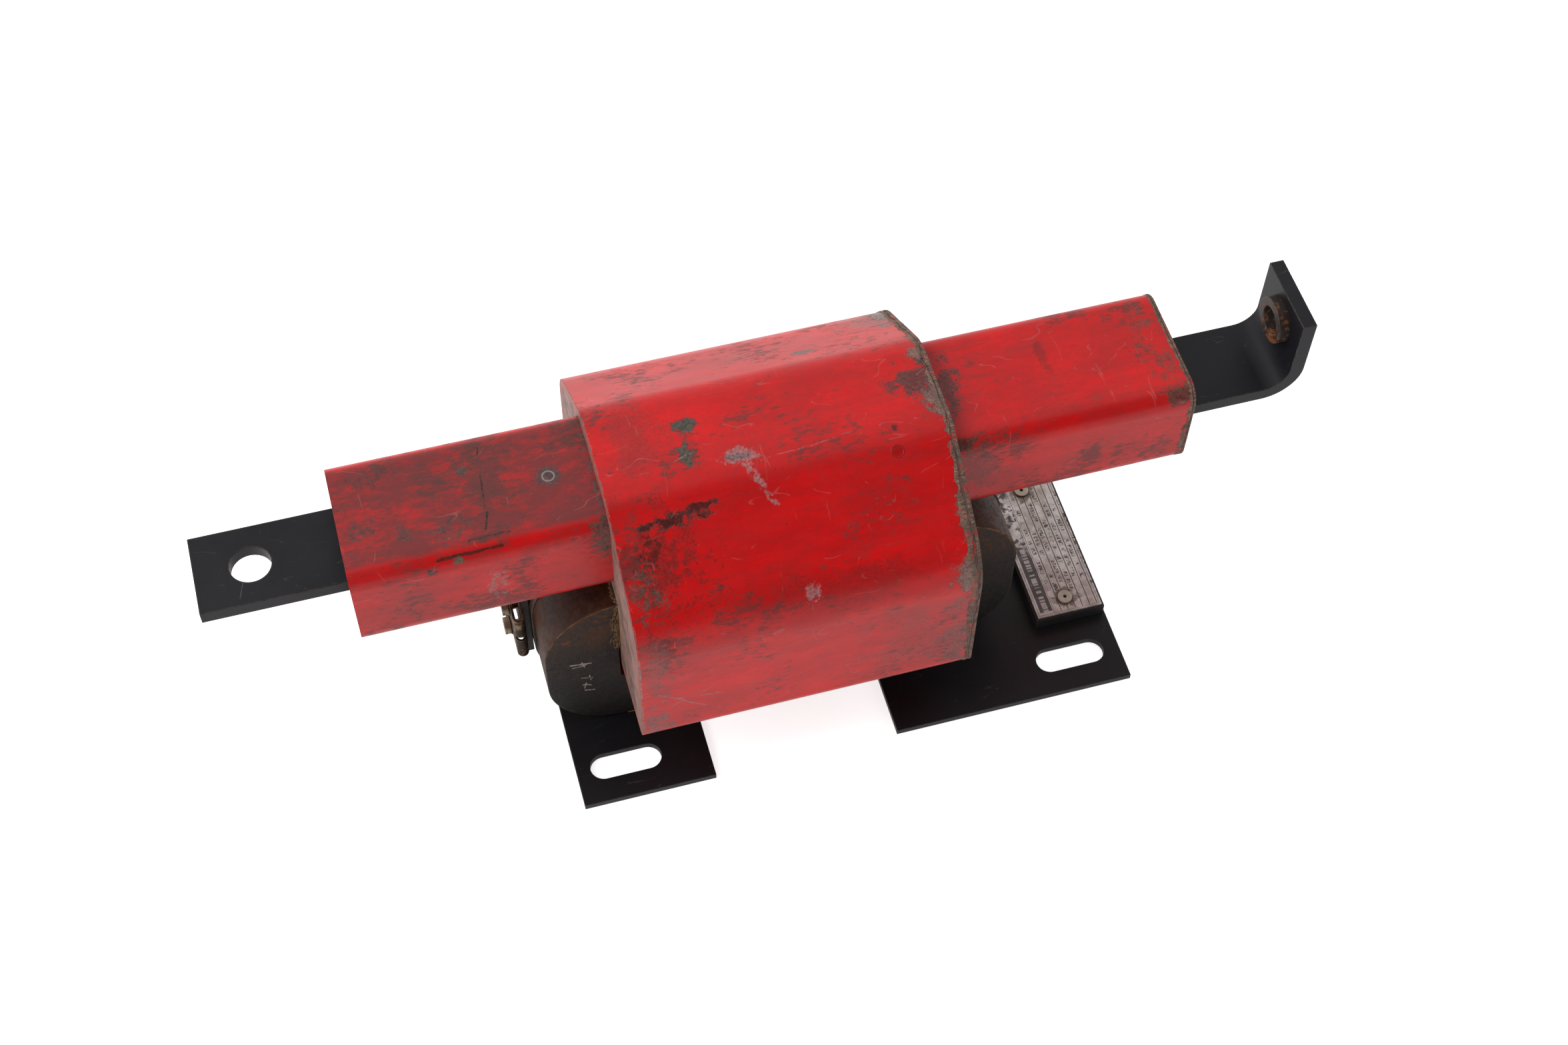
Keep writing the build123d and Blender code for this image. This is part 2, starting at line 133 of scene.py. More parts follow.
def blendValue(tree, factor, first, second):
    return addNode(tree, "ShaderNodeMix", {0: factor, 2: first, 3: second}, {"data_type": "FLOAT"}).outputs[0]


def noise(tree, vector, scale, detail=4.0, roughness=0.55):
    inputs = {"Vector": vector, "Scale": scale, "Detail": detail, "Roughness": roughness}
    return addNode(tree, "ShaderNodeTexNoise", inputs).outputs["Fac"]


def stretch(tree, vector, factors, turn=(0, 0, 0)):
    inputs = {"Vector": vector, "Scale": factors, "Rotation": turn}
    return addNode(tree, "ShaderNodeMapping", inputs).outputs[0]


def split(tree, vector):
    return addNode(tree, "ShaderNodeSeparateXYZ", {"Vector": vector}).outputs


def join(tree, **parts):
    return addNode(tree, "ShaderNodeCombineXYZ", parts).outputs[0]


def scaleY(tree, vector, factor):
    return calc(tree, "MULTIPLY", split(tree, vector)["Y"], factor)


def apart(tree, first, second):
    # the distance between two numbers
    return calc(tree, "ABSOLUTE", calc(tree, "SUBTRACT", first, second))


def between(tree, mask, dark, light):
    # from the first colour where the mask is 0 to the second where it is 1
    return blend(tree, mask, (*dark, 1), (*light, 1))


def lay(tree, colour, mask, tint, share=1.0):
    # the tint covers the colour where the mask is 1, up to the share
    if share != 1.0:
        mask = calc(tree, "MULTIPLY", mask, share)
    return blend(tree, mask, colour, (*tint, 1))


def lightTheStudio(values):
    world = bpy.data.worlds.new("studio")
    bpy.context.scene.world = world
    world.use_nodes = True
    tree = world.node_tree
    tree.nodes.clear()
    direction = addNode(tree, "ShaderNodeTexCoord").outputs["Generated"]
    towards = tuple(Vector(values["dimTowards"]).normalized())
    dimming = softStep(
        tree, calcVector(tree, "DOT_PRODUCT", direction, towards), values["dimStart"], values["dimFull"]
    )
    strength = blendValue(tree, dimming, values["sky"], values["dim"])
    cameraRay = addNode(tree, "ShaderNodeLightPath").outputs["Is Camera Ray"]
    strength = blendValue(tree, cameraRay, strength, 1.0)
    sky = addNode(tree, "ShaderNodeBackground", {"Color": (1, 1, 1, 1), "Strength": strength})
    tree.links.new(sky.outputs[0], addNode(tree, "ShaderNodeOutputWorld").inputs["Surface"])
    data = bpy.data.lights.new("softbox", "AREA")
    data.energy = values["softboxPower"]
    data.size = values["softboxSize"]
    softbox = bpy.data.objects.new("softbox", data)
    bpy.context.scene.collection.objects.link(softbox)
    place = Vector(values["softboxPlace"])
    softbox.location = place
    softbox.rotation_euler = (-place).to_track_quat("-Z", "Y").to_euler()


def layFloor(values):
    half = values["floorSize"] / 2
    mesh = bpy.data.meshes.new("floor")
    corners = [(-half, -half, 0), (half, -half, 0), (half, half, 0), (-half, half, 0)]
    mesh.from_pydata(corners, [], [(0, 1, 2, 3)])
    floor = bpy.data.objects.new("floor", mesh)
    bpy.context.scene.collection.objects.link(floor)
    material = bpy.data.materials.new("paleFloor")
    material.use_nodes = True
    shader = material.node_tree.nodes["Principled BSDF"]
    shader.inputs["Base Color"].default_value = values["floorColour"]
    shader.inputs["Roughness"].default_value = 0.9
    shader.inputs["Specular IOR Level"].default_value = 0.1
    shader.inputs["Emission Color"].default_value = (1, 1, 1, 1)
    tree = material.node_tree
    cameraRay = addNode(tree, "ShaderNodeLightPath").outputs["Is Camera Ray"]
    glow = blendValue(tree, cameraRay, values["floorGlow"], values["floorSeen"])
    tree.links.new(glow, shader.inputs["Emission Strength"])
    mesh.materials.append(material)


bpy.context.scene.view_settings.view_transform = "Standard"
placeCamera(cameraView)
lightTheStudio(studio)
layFloor(studio)
print("camera, light and floor placed")


def newGroup(name, inputs, outputs):
    group = bpy.data.node_groups.new(name, "ShaderNodeTree")
    kinds = {"vector": "NodeSocketVector", "value": "NodeSocketFloat", "colour": "NodeSocketColor"}
    for socketName, (kind, default) in inputs.items():
        socket = group.interface.new_socket(socketName, in_out="INPUT", socket_type=kinds[kind])
        socket.default_value = default
    for socketName, kind in outputs.items():
        group.interface.new_socket(socketName, in_out="OUTPUT", socket_type=kinds[kind])
    return group, group.nodes.new("NodeGroupInput").outputs, group.nodes.new("NodeGroupOutput").inputs


def use(tree, group, inputs):
    return addNode(tree, "ShaderNodeGroup", inputs, {"node_tree": group}).outputs


def makeBlotches():
    # cloudy noise cut off softly, so that about the share called Cover stands out
    group, given, out = newGroup(
        "blotches",
        {
            "Vector": ("vector", (0, 0, 0)),
            "Scale": ("value", 0.05),
            "Cover": ("value", 0.3),
            "Softness": ("value", 0.05),
            "Roughness": ("value", 0.6),
        },
        {"Mask": "value"},
    )
    cloud = noise(group, given["Vector"], given["Scale"], 6.0, given["Roughness"])
    middle = calc(group, "MULTIPLY_ADD", given["Cover"], -0.5, 0.75)
    low = calc(group, "SUBTRACT", middle, given["Softness"])
    high = calc(group, "ADD", middle, given["Softness"])
    group.links.new(softStep(group, cloud, low, high), out["Mask"])
    return group


def makeHairlines():
    # contour lines of a noise, kept only where a second, broader noise is high
    group, given, out = newGroup(
        "hairlines",
        {
            "Vector": ("vector", (0, 0, 0)),
            "Scale": ("value", 0.1),
            "Width": ("value", 0.01),
            "Cover": ("value", 0.3),
        },
        {"Mask": "value"},
    )
    hills = noise(group, given["Vector"], given["Scale"], 2.0, 0.5)
    distance = calc(group, "ABSOLUTE", calc(group, "SUBTRACT", hills, 0.5))
    line = softStep(group, distance, given["Width"], 0.0)
    shifted = calcVector(group, "ADD", given["Vector"], (17.0, 31.0, 5.0))
    cloud = noise(group, shifted, calc(group, "MULTIPLY", given["Scale"], 2.3), 3.0, 0.6)
    middle = calc(group, "MULTIPLY_ADD", given["Cover"], -0.5, 0.75)
    kept = softStep(group, cloud, middle, calc(group, "ADD", middle, 0.05))
    group.links.new(calc(group, "MULTIPLY", line, kept), out["Mask"])
    return group


def makeEdgeRub():
    # how far the rounded normal turns from the plain one, which is only near an edge
    group, given, out = newGroup(
        "edgeRub",
        {"Radius": ("value", 0.001), "Low": ("value", 0.02), "High": ("value", 0.2)},
        {"Mask": "value", "Normal": "vector"},
    )
    rounded = addNode(group, "ShaderNodeBevel", {"Radius": given["Radius"]}, {"samples": 4}).outputs[0]
    plain = addNode(group, "ShaderNodeNewGeometry").outputs["Normal"]
    turned = calc(group, "SUBTRACT", 1.0, calcVector(group, "DOT_PRODUCT", rounded, plain))
    group.links.new(softStep(group, turned, given["Low"], given["High"]), out["Mask"])
    group.links.new(rounded, out["Normal"])
    return group


def makePatch():
    # closeness to a centre, roughened by a broad and a fine noise, then cut off:
    # solid inside, speckled outside
    group, given, out = newGroup(
        "patch",
        {
            "Vector": ("vector", (0, 0, 0)),
            "Centre": ("vector", (0, 0, 0)),
            "Size": ("vector", (1, 1, 1)),
            "Ragged": ("value", 0.5),
            "Grain": ("value", 0.3),
            "Speckle": ("value", 2.5),
        },
        {"Mask": "value"},
    )
    away = calcVector(group, "SUBTRACT", given["Vector"], given["Centre"])
    distance = calcVector(group, "LENGTH", calcVector(group, "DIVIDE", away, given["Size"]))
    broad = calc(group, "SUBTRACT", noise(group, given["Vector"], given["Grain"], 3.0, 0.5), 0.5)
    fineScale = calc(group, "MULTIPLY_ADD", given["Grain"], 4.0, 0.45)
    fine = calc(group, "SUBTRACT", noise(group, given["Vector"], fineScale, 6.0, 0.75), 0.5)
    near = calc(group, "SUBTRACT", 1.0, distance)
    near = calc(group, "MULTIPLY_ADD", broad, calc(group, "MULTIPLY", given["Ragged"], 4.0), near)
    near = calc(group, "MULTIPLY_ADD", fine, given["Speckle"], near)
    group.links.new(softStep(group, near, -0.10, 0.30), out["Mask"])
    return group


def makeStroke():
    # distance to a straight line between two points, compared with a width that wavers
    group, given, out = newGroup(
        "stroke",
        {
            "Vector": ("vector", (0, 0, 0)),
            "Start": ("vector", (0, 0, 0)),
            "End": ("vector", (1, 0, 0)),
            "Width": ("value", 0.5),
            "Waver": ("value", 1.0),
            "Grain": ("value", 0.3),
        },
        {"Mask": "value"},
    )
    ownNoise = addNode(
        group, "ShaderNodeTexNoise", {"Vector": given["Vector"], "Scale": given["Grain"], "Detail": 3.0}
    )
    drift = calcVector(group, "SUBTRACT", ownNoise.outputs["Color"], (0.5, 0.5, 0.5))
    place = calcVector(group, "ADD", given["Vector"], scaleVector(group, drift, given["Waver"]))
    along = calcVector(group, "SUBTRACT", given["End"], given["Start"])
    away = calcVector(group, "SUBTRACT", place, given["Start"])
    share = calc(
        group,
        "DIVIDE",
        calcVector(group, "DOT_PRODUCT", away, along),
        calcVector(group, "DOT_PRODUCT", along, along),
        clamp=True,
    )
    gap = calcVector(group, "LENGTH", calcVector(group, "SUBTRACT", away, scaleVector(group, along, share)))
    thickness = calc(group, "MULTIPLY", given["Width"], calc(group, "ADD", ownNoise.outputs["Fac"], 0.35))
    inner = calc(group, "MULTIPLY", thickness, 0.4)
    group.links.new(softStep(group, gap, thickness, inner), out["Mask"])
    return group


blotches = makeBlotches()


def cloudMask(tree, vector, scale, cover, softness, roughness=0.6):
    inputs = {
        "Vector": vector,
        "Scale": scale,
        "Cover": cover,
        "Softness": softness,
        "Roughness": roughness,
    }
    return use(tree, blotches, inputs)["Mask"]


hairlines = makeHairlines()
edgeRub = makeEdgeRub()
patch = makePatch()
stroke = makeStroke()


def newMaterial(name):
    # coordinates are given in millimetres of the shared frame
    material = bpy.data.materials.new(name)
    material.use_nodes = True
    tree = material.node_tree
    tree.nodes.clear()
    shader = tree.nodes.new("ShaderNodeBsdfPrincipled")
    output = tree.nodes.new("ShaderNodeOutputMaterial")
    tree.links.new(shader.outputs[0], output.inputs[0])
    place = addNode(tree, "ShaderNodeTexCoord").outputs["Object"]
    millimetres = stretch(tree, place, (1000, 1000, 1000))
    return material, tree, shader, millimetres


mottleDark = 0.35  # each mark is mottled between its colour and this share of it


def layMarks(tree, millimetres, marks, colour, height):
    # lay patches and strokes over a colour one after the other; "lift" is a height in millimetres
    mottle = softStep(tree, noise(tree, millimetres, 0.8, 6.0, 0.8), 0.36, 0.60)
    for mark in marks:
        if "centre" in mark:
            inputs = {
                "Vector": millimetres,
                "Centre": mark["centre"],
                "Size": mark["size"],
                "Ragged": mark.get("ragged", 0.5),
                "Grain": mark.get("grain", 0.3),
                "Speckle": mark.get("speckle", 2.5),
            }
            mask = use(tree, patch, inputs)["Mask"]
        else:
            inputs = {
                "Vector": millimetres,
                "Start": mark["start"],
                "End": mark["end"],
                "Width": mark["width"],
                "Waver": mark.get("waver", 1.0),
                "Grain": mark.get("grain", 0.3),
            }
            mask = use(tree, stroke, inputs)["Mask"]
        if "broken" in mark:
            mask = calc(tree, "MULTIPLY", mask, cloudMask(tree, millimetres, mark["broken"], 0.55, 0.06))
        mask = calc(tree, "MULTIPLY", mask, mark.get("strength", 1.0))
        darker = tuple(mottleDark * part for part in mark["colour"])
        tone = between(tree, mottle, darker, mark["colour"])
        colour = blend(tree, mask, colour, tone)
        if mark.get("lift"):
            height = calc(tree, "MULTIPLY_ADD", mask, mark["lift"], height)
    return colour, height


def finishShader(tree, shader, colour, roughness, height, normal=None, metallic=None):
    setInput(tree, shader.inputs["Base Color"], colour)
    setInput(tree, shader.inputs["Roughness"], roughness)
    if metallic is not None:
        setInput(tree, shader.inputs["Metallic"], metallic)
    inputs = {"Height": height, "Distance": 0.001}
    if normal is not None:
        inputs["Normal"] = normal
    bump = addNode(tree, "ShaderNodeBump", inputs)
    tree.links.new(bump.outputs[0], shader.inputs["Normal"])


print("shared effects made")


shellLow, shellHigh = (Vector(corner) * 1000 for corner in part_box("housing_shell"))
# outline of the housing across the bars: how far the shoulders drop, the flat top's width, corner radii
housingShape = {"shoulderDrop": 36.0, "flatTop": 44.5, "radii": (7.0, 7.0, 30.0, 22.0, 22.0, 30.0)}
brownGrey = (0.105, 0.070, 0.055)
greenGrey = (0.095, 0.088, 0.070)
darkBrown = (0.040, 0.024, 0.020)
pinkWhite = (0.52, 0.21, 0.21)
bareGrey = (0.23, 0.17, 0.14)

redEnamel = {
    "bright": (0.72, 0.006, 0.007),
    "deep": (0.55, 0.006, 0.007),
    "film": (0.15, 0.028, 0.028),
    "grime": (0.075, 0.034, 0.030),
    "pit": (0.030, 0.014, 0.012),
    "scratch": (0.55, 0.16, 0.15),
    "roughness": 0.30,
    "alongBars": (0.45, 1, 1),  # the wear is drawn out along the bars
    "filmShare": 0.34,  # how strongly each layer covers the ones under it
    "grimeShare": 0.68,
    "streakShare": 0.30,
    "dustShare": 0.20,
    "pitShare": 0.8,
    "wornShare": 0.7,
    "scratchShare": 0.28,
}

def spot(centre, size, colour, strength=1.0, **more):
    # a ragged patch: its middle and its reach along X, Y and Z in millimetres
    return dict(more, centre=centre, size=size, colour=colour, strength=strength)


def streak(start, end, width, colour, strength=1.0, **more):
    # a wavering line between two points in millimetres
    return dict(more, start=start, end=end, width=width, colour=colour, strength=strength)


housingMarks = [
    spot((-60, 5, 160.5), (5.5, 4.5, 6), greenGrey, ragged=0.6, grain=0.25, lift=-0.1),
    spot((-63, -10.5, 160.5), (3.2, 6.5, 6), greenGrey, ragged=0.7, grain=0.25, lift=-0.1),
    spot(
        (-85, -50, 141), (17, 22, 20), (0.1, 0.034, 0.03), 0.55, ragged=1.0, grain=0.07,
        speckle=5.0, broken=0.22
    ),
    spot((-84, 10, 160), (14, 30, 8), (0.13, 0.045, 0.042), 0.35, ragged=1.0, grain=0.07, speckle=5.0),
    spot((-15, -68, 125), (30, 8, 8), (0.14, 0.03, 0.028), 0.28, ragged=1.0, grain=0.1, speckle=5.0),
    spot((20, -73, 78), (26, 6, 22), (0.17, 0.06, 0.055), 0.3, ragged=1.0, grain=0.1, speckle=5.0),
    spot((-42, -15.5, 160), (7, 3.8, 5), (0.46, 0.2, 0.2), 0.85, ragged=0.7, grain=0.3),
    spot((-43, -16, 160), (4.8, 1.9, 4), (0.2, 0.16, 0.17), 0.85, ragged=0.7, grain=0.5),
    streak((-40, -20, 159.8), (-36, -30, 155.4), 3.0, pinkWhite, 0.9, waver=3.5, grain=0.25, broken=0.5),
    streak((-34.5, -33, 153.6), (-31.5, -37, 150.8), 1.7, pinkWhite, 0.9, waver=4, grain=0.3, broken=0.6),
    spot((-24.4, -68.4, 126.5), (2.9, 3.6, 3.8), (0.46, 0.2, 0.2), 0.85, ragged=0.6, grain=0.4),
    streak(
        (-100.7, -74, 121), (-100.7, -74, 47), 0.8, (0.4, 0.22, 0.2), 0.8, waver=0.7, grain=0.3, broken=0.4
    ),
    streak(
        (-100.7, -72, 127), (-100.7, -24, 159.5), 0.6, (0.34, 0.16, 0.14), 0.7, waver=0.7,
        grain=0.3, broken=0.4
    ),
    spot((-90, 74, 122), (12, 6, 5), (0.3, 0.14, 0.13), 0.5, ragged=0.9, grain=0.2),
    streak((-24.5, -70, 122), (-41, -73, 112), 0.6, (0.55, 0.26, 0.24), 0.8, waver=3.0, grain=0.12),
    spot((-76, -35, 151.5), (13, 2.2, 4), darkBrown, 0.85, ragged=0.8, grain=0.22, lift=-0.15),
    spot((-64, -32, 153), (7, 1.5, 3), darkBrown, 0.85, ragged=0.9, grain=0.3, lift=-0.15),
    spot((-87, -44, 145), (6, 9, 8), darkBrown, 0.65, ragged=0.9, grain=0.16, speckle=4.0, broken=0.35),
    spot(
        (-92, -57, 136), (7, 10, 10), (0.13, 0.085, 0.07), 0.75, ragged=1.0, grain=0.16,
        speckle=4.5, broken=0.3
    ),
    spot((-90, -72, 118), (7, 5, 9), darkBrown, 0.5, ragged=1.0, grain=0.16, speckle=4.0, broken=0.35),
    spot((-93, -73.5, 105), (5, 3, 30), (0.15, 0.085, 0.075), 0.5, ragged=1.0, grain=0.2, speckle=4.5),
    spot((-95, -74, 56), (8, 3, 8), (0.17, 0.11, 0.1), 0.6, ragged=1.0, grain=0.2, speckle=4.5),
    spot((-60, -74, 47.5), (40, 3, 2.0), (0.22, 0.13, 0.12), 0.6, ragged=0.8, grain=0.2, speckle=3.5),
    spot((23.2, -28.3, 156.3), (2.7, 2.7, 2.7), (0.4, 0.004, 0.005), 0.5, ragged=0.05, speckle=0.3),
    spot((24.3, -19, 160.3), (1.4, 1.4, 3), darkBrown, 0.8, ragged=0.5, grain=0.6),
    spot((0.8, 36.6, 150.5), (5.5, 3, 4), greenGrey, 0.85, ragged=0.5, grain=0.3),
    spot((39, 60, 134), (13, 16, 13), (0.2, 0.15, 0.13), 0.45, ragged=0.9, grain=0.1),
    spot((44, 61, 134), (6, 15, 12), bareGrey, 0.9, ragged=0.7, grain=0.14, lift=-0.1),
    spot((45, 16, 160.3), (4.5, 5, 4), bareGrey, 0.9, ragged=0.5, grain=0.25, lift=-0.1),
    spot(
        (40, 2, 160.3), (8, 9, 5), (0.085, 0.055, 0.05), 0.85, ragged=1.0, grain=0.16,
        speckle=4.0, lift=-0.05
    ),
    spot((45.5, -9, 160.3), (4.5, 7, 4), bareGrey, 0.9, ragged=0.8, grain=0.3, speckle=4.0, lift=-0.1),
    spot((46.5, -54, 138), (3.6, 12, 9), bareGrey, 0.9, ragged=0.7, grain=0.3, speckle=3.5, lift=-0.1),
    spot((44, -73, 120), (6.5, 6, 11), bareGrey, 0.9, ragged=0.8, grain=0.2, speckle=3.5, lift=-0.1),
    spot((41, -74, 72), (8, 4, 24), (0.15, 0.075, 0.065), 0.6, ragged=0.9, grain=0.14, speckle=4.0),
    spot((28, -74, 47.5), (24, 3, 2.6), bareGrey, 0.7, ragged=0.8, grain=0.2, speckle=3.0),
    streak((-93, -74, 82), (-72, -74, 64), 0.6, (0.34, 0.24, 0.22), 0.6, waver=4.0, grain=0.08),
    streak((-92, -74, 76), (-66, -74, 73), 0.5, (0.34, 0.24, 0.22), 0.5, waver=4.0, grain=0.08),
    streak((-88, -74, 70), (-70, -74, 79), 0.45, (0.34, 0.24, 0.22), 0.4, waver=4.0, grain=0.08),
    streak(
        (-34, -20, 160), (15, -15.5, 160.5), 0.5, (0.6, 0.16, 0.16), 0.5, waver=4.0, grain=0.05, broken=0.2
    ),
    streak(
        (-95, -20, 160), (-60, -9, 160.5), 0.4, (0.62, 0.28, 0.26), 0.5, waver=3.0, grain=0.05, broken=0.25
    ),
    streak((-6, -37, 150), (40, -51, 140), 0.35, (0.6, 0.2, 0.2), 0.3, waver=3.0, grain=0.05, broken=0.3),
]


def ringMark(tree, millimetres, centre, radius, width):
    # 1 on a thin circle that lies flat
    away = calcVector(tree, "SUBTRACT", millimetres, centre)
    gap = calc(tree, "ABSOLUTE", calc(tree, "SUBTRACT", calcVector(tree, "LENGTH", away), radius))
    return softStep(tree, gap, width, width * 0.4)


def enamel(name, values, marks, rings, wornEnds, age, darkerTop=None):
    # tone, brown film, cloudy grime and pits come first, then the listed marks, scratches and bare ends
    material, tree, shader, millimetres = newMaterial(name)
    shader.inputs["Specular IOR Level"].default_value = 0.25
    lengthwise = stretch(tree, millimetres, values["alongBars"])
    slow = cloudMask(tree, lengthwise, 0.035, 0.5, 0.14, 0.8)
    colour = between(tree, slow, values["bright"], values["deep"])
    film = cloudMask(tree, lengthwise, 0.05, 0.45, 0.2, 0.75)
    film = calc(tree, "MULTIPLY", film, values["filmShare"] * age)
    if darkerTop:
        # the upward face is made a darker brown, with the film's colour in broken cover
        upward = softStep(tree, split(tree, millimetres)["Z"], darkerTop["low"], darkerTop["high"])
        cover = calc(tree, "MULTIPLY_ADD", cloudMask(tree, lengthwise, 0.09, 0.62, 0.13, 0.9), 0.62, 0.30)
        film = calc(tree, "MAXIMUM", film, calc(tree, "MULTIPLY", upward, cover))
    colour = lay(tree, colour, film, values["film"])
    cloud = calc(tree, "SUBTRACT", noise(tree, millimetres, 0.03, 3.0, 0.6), 0.5)
    fine = noise(tree, lengthwise, 0.42, 9.0, 0.72)
    thick = calc(tree, "MULTIPLY_ADD", cloud, 0.85 * age, fine)
    specks = softStep(tree, thick, 0.58 - 0.03 * age, 0.72 - 0.03 * age)
    grime = calc(tree, "MULTIPLY", specks, values["grimeShare"])
    colour = lay(tree, colour, grime, values["grime"])
    streaky = noise(tree, stretch(tree, millimetres, (0.08, 1, 1)), 0.55, 5.0, 0.7)
    streaks = calc(tree, "MULTIPLY", softStep(tree, streaky, 0.55, 0.72), values["streakShare"] * age)
    colour = lay(tree, colour, streaks, values["grime"])
    dust = softStep(tree, noise(tree, lengthwise, 1.1, 7.0, 0.85), 0.46, 0.66)
    colour = lay(tree, colour, dust, values["grime"], values["dustShare"] * age)
    pits = softStep(tree, noise(tree, millimetres, 1.3, 2.0, 0.5), 0.70, 0.76)
    colour = lay(tree, colour, pits, values["pit"], values["pitShare"])
    worn = cloudMask(tree, lengthwise, 0.07, 0.16, 0.04, 0.8)
    worn = calc(tree, "MULTIPLY", worn, values["wornShare"] * age)
    colour = lay(tree, colour, worn, brownGrey)
    height = calc(tree, "MULTIPLY", noise(tree, millimetres, 0.018, 2.0), 1.1)
    height = calc(tree, "MULTIPLY_ADD", noise(tree, millimetres, 0.9, 3.0), 0.016, height)
    height = calc(tree, "MULTIPLY_ADD", specks, -0.012, height)
    height = calc(tree, "MULTIPLY_ADD", worn, -0.05, height)
    colour, height = layMarks(tree, millimetres, marks, colour, height)
    for ring in rings:
        circle = ringMark(tree, millimetres, ring["centre"], ring["radius"], ring["width"])
        colour = lay(tree, colour, circle, ring["colour"], ring["strength"])
        height = calc(tree, "MULTIPLY_ADD", circle, ring["lift"], height)
    inputs = {"Vector": lengthwise, "Scale": 0.05, "Width": 0.006, "Cover": 0.42}
    scratches = use(tree, hairlines, inputs)["Mask"]
    crossed = stretch(tree, millimetres, (1, 0.25, 0.25), (0.2, 0.3, 0.9))
    inputs = {"Vector": crossed, "Scale": 0.07, "Width": 0.006, "Cover": 0.36}
    crossScratches = use(tree, hairlines, inputs)["Mask"]
    scratches = calc(tree, "MAXIMUM", scratches, crossScratches)
    colour = lay(tree, colour, scratches, values["scratch"], values["scratchShare"])
    axis = split(tree, millimetres)["X"]
    ragged = noise(tree, stretch(tree, millimetres, (0.3, 1, 1)), 0.22, 5.0, 0.7)
    bare = 0.0
    for end in wornEnds:
        distance = apart(tree, axis, end["place"])
        reach = calc(tree, "MULTIPLY_ADD", calc(tree, "SUBTRACT", ragged, 0.5), end["ragged"], end["width"])
        mask = softStep(tree, calc(tree, "SUBTRACT", distance, reach), 0.35, -0.35)
        mask = calc(tree, "MULTIPLY", mask, end["strength"])
        threads = noise(tree, stretch(tree, millimetres, (2, 0.5, 0.5)), 0.8, 4.0)
        fibre = between(tree, threads, end["dark"], end["light"])
        colour = blend(tree, mask, colour, fibre)
        height = calc(tree, "MULTIPLY_ADD", mask, -0.12, height)
        bare = calc(tree, "MAXIMUM", bare, mask)
    roughness = calc(tree, "MULTIPLY_ADD", worn, 0.25, values["roughness"])
    roughness = calc(tree, "MULTIPLY_ADD", bare, 0.3, roughness)
    roughness = calc(tree, "MULTIPLY_ADD", grime, 0.2, roughness)
    finishShader(tree, shader, colour, roughness, height)
    return material


print("red enamel ready")
shellEnds = [
    {
        "place": shellHigh.x,
        "width": 3.0,
        "ragged": 14.0,
        "strength": 0.9,
        "dark": (0.085, 0.06, 0.045),
        "light": (0.24, 0.17, 0.14),
    },
    {
        "place": shellLow.x,
        "width": 0.4,
        "ragged": 2.5,
        "strength": 0.8,
        "dark": (0.1, 0.05, 0.04),
        "light": (0.34, 0.2, 0.17),
    },
]
driedDrop = [
    {
        "centre": (23.2, -28.3, 156.3),
        "radius": 2.7,
        "width": 0.4,
        "colour": (0.22, 0.006, 0.006),
        "strength": 0.7,
        "lift": 0.12,
    },
]
housingRed = enamel("housingRed", redEnamel, housingMarks, driedDrop, shellEnds, 0.9)

